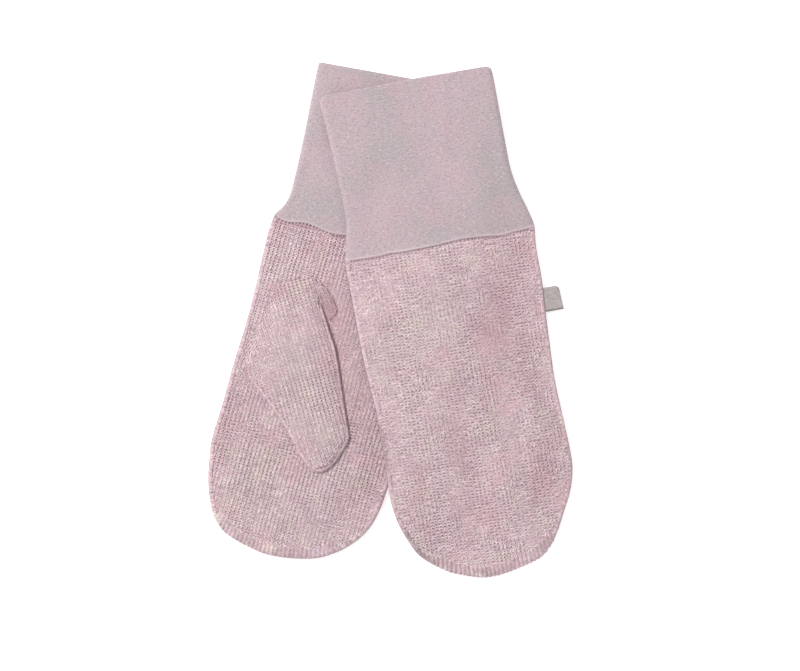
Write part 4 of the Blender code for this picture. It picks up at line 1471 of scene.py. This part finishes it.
def knit_tree():
    tree = bpy.data.node_groups.new("knit_field", "GeometryNodeTree")
    given = group_inputs(tree, FIELD_INPUTS)
    kept = dropped(tree, given, *stitch_grid(tree, given))

    normal = node(tree, "GeometryNodeInputNamedAttribute", {"Name": "lie"},
                  data_type="FLOAT_VECTOR").outputs[0]
    wobble = own_value(tree, given, 0.0, -WOBBLE, WOBBLE)
    wobble = node(tree, "ShaderNodeMath", (given["Turn"], wobble), operation="ADD").outputs[0]
    wale = node(tree, "ShaderNodeVectorRotate", {"Vector": (0.0, 1.0, 0.0), "Angle": wobble},
                rotation_type="Z_AXIS").outputs[0]
    facing = node(tree, "FunctionNodeAxesToRotation",
                  {"Primary Axis": normal, "Secondary Axis": wale},
                  primary_axis="Z", secondary_axis="Y").outputs[0]
    stretch = [own_value(tree, given, add, *ends) for add, ends in enumerate(STRETCHES, 1)]
    size = node(tree, "ShaderNodeCombineXYZ", stretch).outputs[0]

    tension = node(tree, "ShaderNodeTexNoise",
                   {"W": given["Seed"], "Scale": TENSION_SCALE, "Detail": 2.0},
                   noise_dimensions="4D").outputs[0]
    is_tall = node(tree, "FunctionNodeCompare", {0: tension, 1: given["Wale share"]},
                   data_type="FLOAT", operation="LESS_THAN").outputs[0]
    is_wide = node(tree, "FunctionNodeBooleanMath", (is_tall,), operation="NOT").outputs[0]
    joined = node(tree, "GeometryNodeJoinGeometry")
    for chosen, loop in ((is_tall, "Wale loop"), (is_wide, "Course loop")):
        shape = node(tree, "GeometryNodeObjectInfo", {"Object": given[loop]})
        placed = node(tree, "GeometryNodeInstanceOnPoints", {
            "Points": kept, "Selection": chosen, "Instance": shape.outputs["Geometry"],
            "Rotation": facing, "Scale": size}).outputs[0]
        tree.links.new(placed, joined.inputs[0])
    return finished(tree, given, joined.outputs[0])


def grown(name, tree, values, carrier_mesh=None):
    """Runs a Geometry Nodes tree on a carrier and keeps the result as a plain mesh object."""
    carrier = bpy.data.objects.new(name, carrier_mesh or bpy.data.meshes.new(name))
    bpy.context.scene.collection.objects.link(carrier)
    modifier = carrier.modifiers.new(name, "NODES")
    modifier.node_group = tree
    sockets = {item.name: item.identifier for item in tree.interface.items_tree
               if item.item_type == "SOCKET" and item.in_out == "INPUT"}
    for key, value in values.items():
        modifier[sockets[key]] = value
    bpy.context.view_layer.update()
    seen = carrier.evaluated_get(bpy.context.evaluated_depsgraph_get())
    made = bpy.data.meshes.new_from_object(seen)
    carrier.modifiers.clear()
    carrier.data = made
    made.calc_loop_triangles()
    print(f"{name}: {len(made.loop_triangles)} triangles")
    return carrier


# %% [markdown]
# ## Laying the knit
#
# Each hand's top panel, each underside, the thumb and the small fold get a field of their own,
# with the turn of its wales and the skew of its courses as the photograph shows them: the upper
# mitten's courses run nearly level, the lower one's wales lean a little away from its axis.

# %% Fields of loops
THUMB_FRAME = {"x": root_x, "y": root_y, "turn": RIGHT_MITTEN["turn"] + THUMB_TURN}
FACE, BACK, DRAWN = (wale_loop, course_loop), (back_loop, back_loop), (fold_loop, fold_loop)
KNIT_FIELDS = {
    # name: skin, frame, tall and wide loop, turn added, across, along,
    #       skew, drift, shake, share of tall loops, side, share of the pitches, seed
    "right_palm_loops": (right_palm, RIGHT_MITTEN, FACE, 1.0, 83.0, 140.0,
                         0.08, 1.6, 0.26, 0.58, 1.0, 1.0, 11),
    "right_back_loops": (right_back, RIGHT_MITTEN, BACK, 0.0, 83.0, 140.0,
                         0.0, 1.6, 0.34, 0.50, -1.0, 1.0, 12),
    "left_back_loops": (left_back, LEFT_MITTEN, FACE, 0.0, 83.0, 143.0,
                        -0.05, 1.6, 0.56, 0.46, 1.0, 1.0, 13),
    "left_palm_loops": (left_palm, LEFT_MITTEN, BACK, 0.0, 83.0, 143.0,
                        0.0, 1.6, 0.34, 0.50, -1.0, 1.0, 14),
    "right_thumb_loops": (right_thumb_outer, THUMB_FRAME, FACE, 2.0, 66.0, 84.0,
                          0.0, 0.7, 0.2, 0.9, 1.0, 1.0, 31),
    "right_gusset_loops": (right_gusset, THUMB_FRAME, DRAWN, 18.0, 44.0, 34.0,
                           0.0, 0.7, 0.2, 0.9, 1.0, FOLD_SHARE, 32),
}
knit_field = knit_tree()
fields = {}
for name, row in KNIT_FIELDS.items():
    skin, frame_of, loops, turn, across, along, skew, drift, shake, tall, side, share, seed = row
    fields[name] = grown(name, knit_field, {
        "Skin": skin, "Wale loop": loops[0], "Course loop": loops[1],
        "Origin": (frame_of["x"] * MM, frame_of["y"] * MM, 0.0),
        "Turn": math.radians(frame_of["turn"] + turn), "Across": across * MM,
        "Along": along * MM, "Wale pitch": WALE * share * MM,
        "Course pitch": COURSE * share * MM, "Skew": skew, "Drift": drift * MM,
        "Shake": shake * MM, "Wale share": tall, "Side": side, "Clear": LOOP_CLEAR * MM,
        "Seed": seed, "Yarn": yarn_material})
for loop in (wale_loop, course_loop, fold_loop, back_loop):
    bpy.data.objects.remove(loop)

# %% [markdown]
# ## Rolled edges and seams
#
# Round each hand and thumb the two panels are sewn together and turned, and there the stitches
# pull over the edge, smoothly at the sides and as ribs along the wales round the tip. Each cuff
# joins its hand in a ditch, bridged by the thread every other stitch. All are rows along a line,
# so one tree makes them. It turns a line of points into a curve and walks along it by the pitch.
# At each step it stands one stitch, at the place, size and way out that the points carry.

# %% The stitch row tree
ROW_INPUTS = (
    ("Geometry", "Geometry"), ("Stitch", "Object"), ("Pitch", "Float"), ("Up", "Vector"),
    ("Unevenness", "Float"), ("Seed", "Int"), ("Yarn", "Material"),
)
ROW_TONES = (0.3, 0.7)


def row_tree():
    tree = bpy.data.node_groups.new("stitch_row", "GeometryNodeTree")
    given = group_inputs(tree, ROW_INPUTS)
    carried = {}
    for name, kind in (("stand", "FLOAT_VECTOR"), ("out", "FLOAT_VECTOR"), ("size", "FLOAT")):
        carried[name] = node(tree, "GeometryNodeInputNamedAttribute", {"Name": name},
                             data_type=kind).outputs[0]
    line = node(tree, "GeometryNodeMeshToCurve", (given["Geometry"],)).outputs[0]
    line = node(tree, "GeometryNodeResampleCurve",
                {"Curve": line, "Length": given["Pitch"]}, mode="LENGTH").outputs[0]
    line = node(tree, "GeometryNodeSetPosition",
                {"Geometry": line, "Position": carried["stand"]}).outputs[0]
    own = own_value(tree, given, TONE_SEED, *ROW_TONES)
    line = node(tree, "GeometryNodeStoreNamedAttribute",
                {"Geometry": line, "Name": "tone", "Value": own},
                data_type="FLOAT", domain="POINT").outputs[0]
    facing = node(tree, "FunctionNodeAxesToRotation",
                  {"Primary Axis": given["Up"], "Secondary Axis": carried["out"]},
                  primary_axis="Z", secondary_axis="Y").outputs[0]
    spread = []
    for add in (1.0, 2.0, 3.0):
        wobble = own_value(tree, given, add, -1.0, 1.0)
        even = node(tree, "ShaderNodeMath", (wobble, given["Unevenness"], 1.0),
                    operation="MULTIPLY_ADD").outputs[0]
        spread.append(node(tree, "ShaderNodeMath", (even, carried["size"]),
                           operation="MULTIPLY").outputs[0])
    size = node(tree, "ShaderNodeCombineXYZ", spread).outputs[0]
    shape = node(tree, "GeometryNodeObjectInfo", {"Object": given["Stitch"]})
    placed = node(tree, "GeometryNodeInstanceOnPoints", {
        "Points": line, "Instance": shape.outputs["Geometry"], "Rotation": facing,
        "Scale": size}).outputs[0]
    return finished(tree, given, placed)


def line_mesh(name, lines):
    """A mesh of open lines in millimetres. Its points are where the pitch is measured, and each
    has the place where its stitch stands, the way that faces out and the stitch's size."""
    points, edges, stands, out, sizes = [], [], [], [], []
    for walk, line, ways, line_sizes in lines:
        first = len(points)
        points += (np.array(walk) * MM).tolist()
        stands += (np.array(line) * MM).tolist()
        out += [(*way, 0.0) for way in ways]
        sizes += list(line_sizes)
        edges += [(first + i, first + i + 1) for i in range(len(line) - 1)]
    data = bpy.data.meshes.new(name)
    data.from_pydata(points, edges, [])
    for attribute, values in (("stand", stands), ("out", out)):
        kept = data.attributes.new(attribute, "FLOAT_VECTOR", "POINT")
        kept.data.foreach_set("vector", np.array(values, dtype=np.float32).ravel())
    kept = data.attributes.new("size", "FLOAT", "POINT")
    kept.data.foreach_set("value", np.array(sizes, dtype=np.float32))
    return data


def outward(line):
    """The way out of an outline at each of its points, for a line that runs anticlockwise."""
    ahead = np.gradient(line, axis=0)
    ahead /= np.linalg.norm(ahead, axis=1, keepdims=True)
    return np.stack([ahead[:, 1], -ahead[:, 0]], axis=1)


stitch_row = row_tree()

# %% [markdown]
# ## Ribs and bridges
#
# A rib is a strand that starts flat on the panel, rises over the rolled edge and comes down to
# the groove. Its outline is a few points of "out" and "up" from the edge's middle height. At the
# tips the ribs stand a wale apart and show one by one. Down the sides they are wide and overlap,
# so that they read as one smooth roll.

# %% Ribs and bridges
TIP_RIB = ((-5.4, 1.15), (-4.4, 1.58), (-3.0, 1.60), (-1.8, 1.48), (-0.8, 1.24), (-0.3, 0.86),
           (-0.14, 0.42), (-0.4, 0.06))
RIM_RIB = ((-2.0, 1.28), (-1.4, 1.40), (-0.8, 1.25), (-0.36, 0.92), (-0.14, 0.44), (-0.4, 0.06))
SIDESTEP = 0.004          # a path leans this little, as an upright one would have no side
RIM_PATH = [(SIDESTEP * i, y, z) for i, (y, z) in enumerate(RIM_RIB)]
TIP_PATH = [(SIDESTEP * i, y, z) for i, (y, z) in enumerate(TIP_RIB)]
THUMB_PATH = [(x, 0.8 * y, 0.46 * z) for x, y, z in RIM_PATH]
BRIDGE_PATH = [(0.0, -1.0, -0.45), (0.001, -0.45, 0.08), (0.002, 0.35, 0.02),
               (0.003, 0.95, -0.35)]
TIP_WIDTHS = [1.0] * 5 + [0.92, 0.78, 0.6]      # flat faces, so that the ribs stay soft
STITCHES = {
    # name: path, width to each side, rise of its ridge, smooth
    "tip_rib": (TIP_PATH, TIP_WIDTHS, 0.40, False),
    "soft_tip_rib": (TIP_PATH, TIP_WIDTHS, 0.28, False),
    "side_rib": (RIM_PATH, 1.0, 0.08, True),
    "thumb_rib": (THUMB_PATH, 1.2, 0.10, True),
    "seam_bridge": (BRIDGE_PATH, 0.27, 0.2, True),
}
stitches = {name: strand(name, *row) for name, row in STITCHES.items()}
print("stitches for rows:", ", ".join(stitches))

# %% [markdown]
# ## Lines for the ribs and bridges
#
# A hand's edge is split in two sides and the tip, with one set of lines for the top and one for
# the underside. Down the sides the ribs stand straight out. Round the tip they turn towards the
# wales, and the pitch is walked straight across the hand, so that they keep a wale apart.

# %% Lines along the edges and seams
HALF_HEIGHT = FLAT_HEIGHT / 2
RIB_REACH = 1.7           # how far inside the edge a rib is highest
UNDER_LIFT = 0.44         # keeps the lower ribs off the table
SIDES_TO = 130.0          # the side ribs end here, among the tip's, which grow from small ones
TIP_LEAN = 0.75           # how far the tip's ribs turn from straight out towards the wales
TIP_SIZES = (0.55, 0.45)  # a rib's size where the tip's row starts, and what it grows by
THUMB_SIZES = (0.35, 0.65)
SEAM_STEP, JUST_PAST = 0.5, 0.01


def rim_lines(table, mitten, base, above):
    """The sewn edge of a hand as its two sides and its tip, level with the cloth just inside."""
    place = mitten_place(mitten)
    edge = edge_line([[row for row in table if row[0] >= 0.0]], place)
    way = outward(edge)
    along = along_of(mitten, edge[:, 0], edge[:, 1])
    level = base(edge[:, 0], edge[:, 1])
    inside = base(*(edge - RIB_REACH * way).T)
    if above:
        level = np.maximum(level, inside) + crown_along(along) * 2.0 * RIB_REACH / CROWN_DEPTH
    else:
        level = np.minimum(level, inside) + UNDER_LIFT
    line = np.column_stack([edge, level + HALF_HEIGHT])
    at_tip, past_sides = np.flatnonzero(along > TIP_FROM), np.flatnonzero(along > SIDES_TO)
    sides = [(line[part], line[part], way[part], np.ones(len(line[part])))
             for part in (slice(0, past_sides[0] + 1), slice(past_sides[-1], None))]
    first, last = at_tip[0], at_tip[-1]
    tip = slice(first, last + 1)
    sideways, down = np.subtract([place(1.0, 0.0), place(0.0, 1.0)], place(0.0, 0.0))
    risen = (1.0 - fall((along[tip] - TIP_FROM) / TIP_EASE))[:, None]
    leaning = way[tip] * (1.0 - TIP_LEAN * risen) + down * TIP_LEAN * risen
    leaning /= np.linalg.norm(leaning, axis=1, keepdims=True)
    across = (edge[tip] - edge[first]) @ sideways
    walk = np.column_stack([across, np.zeros((len(across), 2))])
    sizes = (TIP_SIZES[0] + TIP_SIZES[1] * risen)[:, 0]
    return sides, [(walk, line[tip], leaning, sizes)]


def seam_lines(mitten, base, wave, half_width, rise):
    """A cuff's seam, across the hand at a rise above what it rests on."""
    place = mitten_place(mitten)
    across = np.arange(-half_width, half_width + JUST_PAST, SEAM_STEP)
    x, y = place(across, seam_moved(wave, across, np.zeros(len(across))))
    way = np.subtract(place(0.0, 1.0), place(0.0, 0.0))
    line = np.column_stack([x, y, base(x, y) + rise])
    return [(line, line, [way] * len(across), np.ones(len(x)))]


def thumb_lines(root, mitten, base):
    """The thumb's free edge: the left side from the end of the seam, the tip, the right side."""
    place = thumb_place(mitten, root)
    rows = rows_through(THUMB_OUTER, evenly(EDGE_STEP))
    left, right = rows[rows[:, 0] > SEWN_TO], rows[rows[:, 0] > RIGHT_SEWN_TO][::-1]
    free = np.vstack([panel_edge(place, left, 0.0), panel_edge(place, right, 1.0)])
    risen = np.concatenate([1.0 - fall((left[:, 0] - SEWN_TO) / ROOT_RUN),
                            1.0 - fall((right[:, 0] - RIGHT_SEWN_TO) / RIGHT_RUN)])
    height = base(*free.T) + (THUMB_KNIT + GAP / 2) * risen * (1.0 - PRESSED)
    line = np.column_stack([free, height])
    return [(line, line, outward(free), THUMB_SIZES[0] + THUMB_SIZES[1] * risen)]


right_rims = [rim_lines(RIGHT_HAND, RIGHT_MITTEN, on_table, above) for above in (True, False)]
left_rims = [rim_lines(LEFT_HAND, LEFT_MITTEN, over_thumb, above) for above in (True, False)]
print("points round the left tip:", len(left_rims[0][1][0][0]))

# %% [markdown]
# ## Laying the rows
#
# Each row of the table is laid twice: on the top, and turned over on the underside. The seams'
# bridges stand in the ditch below each cuff. The thumb's free edge has one row, as its underside
# lies on the palm.

# %% Rows of ribs and bridges
TIP_PITCH, SIDE_PITCH, BRIDGE_PITCH, THUMB_PITCH = WALE, 1.0, 1.5, 1.1
TIP_UNEVEN, SIDE_UNEVEN, BRIDGE_UNEVEN, THUMB_UNEVEN = 0.03, 0.05, 0.2, 0.06
SEAM_HEIGHTS = (3.12, 0.45)           # of the bridges, above what the mitten rests on
FIRST_ROW_SEED, THUMB_ROW_SEED = 51, 71
UP, DOWN = (0.0, 0.0, 1.0), (0.0, 0.0, -1.0)
right_seams = [seam_lines(RIGHT_MITTEN, on_table, SEAM_WAVE, 39.6, rise)
               for rise in SEAM_HEIGHTS]
left_seams = [seam_lines(LEFT_MITTEN, over_thumb, SEAM_STEPS, 39.8, rise)
              for rise in SEAM_HEIGHTS]
EDGE_ROWS = {
    # name: stitch, pitch, unevenness, yarn, lines on the top and on the underside
    "right_sides": ("side_rib", SIDE_PITCH, SIDE_UNEVEN, edge_shade_material,
                    [sides for sides, tip in right_rims]),
    "right_tip": ("soft_tip_rib", TIP_PITCH, TIP_UNEVEN, tip_shade_material,
                  [tip for sides, tip in right_rims]),
    "left_sides": ("side_rib", SIDE_PITCH, SIDE_UNEVEN, edge_shade_material,
                   [sides for sides, tip in left_rims]),
    "left_tip": ("tip_rib", TIP_PITCH, TIP_UNEVEN, tip_shade_material,
                 [tip for sides, tip in left_rims]),
    "right_cuff_seam": ("seam_bridge", BRIDGE_PITCH, BRIDGE_UNEVEN, edge_shade_material, right_seams),
    "left_cuff_seam": ("seam_bridge", BRIDGE_PITCH, BRIDGE_UNEVEN, edge_shade_material, left_seams),
}
stitch_rows = {}
for seed, (name, row) in enumerate(EDGE_ROWS.items(), FIRST_ROW_SEED):
    stitch, pitch, uneven, yarn, both = row
    for side, up, lines in zip(("top", "under"), (UP, DOWN), both):
        piece = f"{name}_{side}"
        stitch_rows[piece] = grown(piece, stitch_row, {
            "Stitch": stitches[stitch], "Pitch": pitch * MM, "Up": up, "Unevenness": uneven,
            "Seed": seed, "Yarn": yarn}, line_mesh(piece, lines))
stitch_rows["right_thumb_edge"] = grown("right_thumb_edge", stitch_row, {
    "Stitch": stitches["thumb_rib"], "Pitch": THUMB_PITCH * MM, "Up": UP,
    "Unevenness": THUMB_UNEVEN, "Seed": THUMB_ROW_SEED, "Yarn": edge_shade_material},
    line_mesh("right_thumb_edge", thumb_lines(RIGHT_THUMB, RIGHT_MITTEN, on_palm)))
for stitch in stitches.values():
    bpy.data.objects.remove(stitch)

# %% [markdown]
# ## Broad zones of colour
#
# Carded fibres never mix evenly over a whole ball of yarn, so a mitten also has broad zones that
# lean to pink or to sand. They are listed in a table of soft bars, as seen in the photograph,
# and each stitch carries its share, which the yarn's material reads.

# %% Zones of colour: x and y at their start and end, half width, how pink (sand below nought)
ZONES = (
    (-26.0, 31.0, -24.0, 2.0, 6.0, 0.8),
    (-23.0, -4.0, -13.0, -46.0, 6.5, 1.0),
    (50.0, 24.0, 42.0, 2.0, 9.0, 0.9),
    (42.0, -4.0, 58.0, -26.0, 9.0, 0.7),
    (26.0, -28.0, 33.0, -82.0, 5.5, 0.7),
    (-62.0, -34.0, -70.0, -50.0, 8.0, 0.7),
    (-2.0, -62.0, -16.0, -76.0, 7.0, 0.6),
    (64.0, -54.0, 70.0, -72.0, 6.0, 0.6),
    (22.0, 10.0, 12.0, -2.0, 10.0, -0.8),
    (6.0, -8.0, -6.0, -14.0, 9.0, -0.7),
    (-40.0, -12.0, -42.0, -26.0, 8.0, -0.7),
    (-58.0, -66.0, -61.0, -78.0, 8.0, -0.7),
    (-33.0, -42.0, -28.0, -50.0, 6.5, -0.8),
    (42.0, -32.0, 50.0, -58.0, 7.0, -0.5),
)


def zoned(obj):
    """Gives each point of a piece its share of pink or sand, as "blush"."""
    points = np.zeros(3 * len(obj.data.vertices), np.float32)
    obj.data.vertices.foreach_get("co", points)
    x, y = points.reshape(-1, 3)[:, :2].T / MM
    kept = obj.data.attributes.new("blush", "FLOAT", "POINT")
    kept.data.foreach_set("value", soft_bars(ZONES, x, y).astype(np.float32))


for obj in (*fields.values(), *stitch_rows.values()):
    zoned(obj)
print("zones of colour:", len(ZONES))

# %% [markdown]
# ## Materials on the shells
#
# The shells below the loops take the ground of painted shade, the small fold the darkest
# painted shade, and the hidden thumb the plain knit.

# %% Assign materials
FINISHES = (
    (ground_material, (right_palm, right_back, right_thumb_outer)),
    (fold_shade_ground_material, (right_gusset,)),
    (close_ground_material, (left_palm, left_back)),
    (plain_knit_material, (right_thumb_inner, left_thumb_outer, left_thumb_inner)),
    (jersey_material, (right_cuff, left_cuff)),
    (tape_material, (side_tape,)),
)
for finish, pieces in FINISHES:
    for obj in pieces:
        obj.data.materials.clear()
        obj.data.materials.append(finish)
print("shells finished:", sum(len(pieces) for finish, pieces in FINISHES))

# %% [markdown]
# ## Riding and replacing the cloth
#
# Everything rides on the one body. Each shell stands for the solid of its own pattern piece,
# which it hides. The flat sizes, the cut of what shows, are measured on the same tables, and each
# area is summed from the widths of the rows, a cuff's all round, so twice that of its table.
# These sizes and areas are worked out here but not used.

# %% Attaching the pieces
RIGHT_CUT, LEFT_CUT = (81.4, 137.6), (81.2, 141.0)          # width and length in mm
INNER_CUT, OUTER_CUT = (38.9, 68.1), (38.9, 82.1)
CLOTH = (
    # piece, the node that it replaces, its cut, area in mm2, what it rests on
    (right_back, "right_hand_back", RIGHT_CUT, cut_area(RIGHT_HAND), []),
    (right_palm, "right_hand_palm", RIGHT_CUT, cut_area(RIGHT_HAND), [right_back]),
    (left_palm, "left_hand_palm", LEFT_CUT, cut_area(LEFT_HAND), [left_thumb_outer]),
    (left_back, "left_hand_back", LEFT_CUT, cut_area(LEFT_HAND), [left_palm]),
    (right_thumb_inner, "right_thumb_inner", INNER_CUT, cut_area(THUMB_INNER), [right_palm]),
    (right_thumb_outer, "right_thumb_outer", OUTER_CUT, cut_area(THUMB_OUTER),
     [right_thumb_inner]),
    (left_thumb_outer, "left_thumb_outer", INNER_CUT, cut_area(THUMB_INNER), []),
    (left_thumb_inner, "left_thumb_inner", OUTER_CUT, cut_area(THUMB_OUTER),
     [left_thumb_outer]),
)
for obj, covers, flat, area, below in CLOTH:
    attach(obj, "root")
    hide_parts(covers)
    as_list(below)
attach(right_gusset, "root")
cut_area(GUSSET) * MM * MM
for obj in (*fields.values(), *stitch_rows.values()):
    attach(obj, "root")
for obj, covers, table in ((right_cuff, "right_cuff", RIGHT_CUFF),
                           (left_cuff, "left_cuff", LEFT_CUFF)):
    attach(obj, "root")
    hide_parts(covers)
    2 * cut_area(table) * MM * MM
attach(side_tape, "root")
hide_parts("side_tab")
print("pieces declared:", len(CLOTH) + len(fields) + len(stitch_rows) + 4)

# %% [markdown]
# ## Table, light and camera
#
# The pair lies on a plain pale table. A large soft light from the upper left gives the edges
# their light side and the short soft shadows, and an even surround fills the rest. The camera
# looks straight down, as the outlines in the photograph show, from far enough for little
# perspective.

# %% Studio
CAMERA_OVER = (4.1, -6.54)
FRAME_WIDTH = 336.0           # millimetres that the picture's width takes in
LENS, SENSOR = 100.0, 36.0
FLOOR_SIZE, FLOOR_DROP = 3.0, 0.0002      # metres, and how far it lies below the pair
PAPER, PAPER_GRAIN, WHITE = "#f6f5f4", "#f8f7f6", "#ffffff"
PAPER_GLOW = 0.50
KEY_PLACE, KEY_SIZE, KEY_POWER = (-0.85, 0.52, 1.3), 0.5, 21.5
SURROUND = 0.63


def pale_floor():
    made = bpy.data.materials.new("matt_white_paper")
    made.use_nodes = True
    tree = made.node_tree
    shader = tree.nodes["Principled BSDF"]
    where = node(tree, "ShaderNodeTexCoord").outputs["Object"]
    grain = patches(tree, where, size=0.05, low=0.3, high=0.7, seed=6.1)
    tree.links.new(painted(tree, PAPER, [(grain, PAPER_GRAIN)]), shader.inputs["Base Color"])
    shader.inputs["Roughness"].default_value = 0.9
    shader.inputs["Emission Color"].default_value = linear(WHITE)
    shader.inputs["Emission Strength"].default_value = PAPER_GLOW
    size = FLOOR_SIZE / 2
    data = bpy.data.meshes.new("floor")
    data.from_pydata([(-size, -size, 0.0), (size, -size, 0.0), (size, size, 0.0),
                      (-size, size, 0.0)], [], [(0, 1, 2, 3)])
    data.materials.append(made)
    obj = bpy.data.objects.new("floor", data)
    bpy.context.scene.collection.objects.link(obj)
    obj.location = (0.0, 0.0, -FLOOR_DROP)
    return obj


pale_floor()
light = bpy.data.lights.new("key_upper_left", "AREA")
light.shape = "DISK"
light.size, light.energy = KEY_SIZE, KEY_POWER
key = bpy.data.objects.new("key_upper_left", light)
bpy.context.scene.collection.objects.link(key)
key.location = KEY_PLACE
key.rotation_euler = Vector(-np.array(KEY_PLACE)).to_track_quat("-Z", "Y").to_euler()

world = bpy.data.worlds.new("soft_surround")
world.use_nodes = True
surround = world.node_tree.nodes["Background"]
surround.inputs["Color"].default_value = linear(WHITE)
surround.inputs["Strength"].default_value = SURROUND
scene = bpy.context.scene
scene.world = world
scene.view_settings.view_transform = "Standard"
scene.view_settings.look = "None"

camera_data = bpy.data.cameras.new("camera")
camera_data.lens, camera_data.sensor_width = LENS, SENSOR
camera = bpy.data.objects.new("camera", camera_data)
scene.collection.objects.link(camera)
camera.location = (CAMERA_OVER[0] * MM, CAMERA_OVER[1] * MM,
                   FRAME_WIDTH * MM * LENS / SENSOR + FLAT_HEIGHT * MM)
scene.camera = camera
print(f"the camera is {camera.location.z:.2f} m up, and the key light {KEY_PLACE[2]} m")
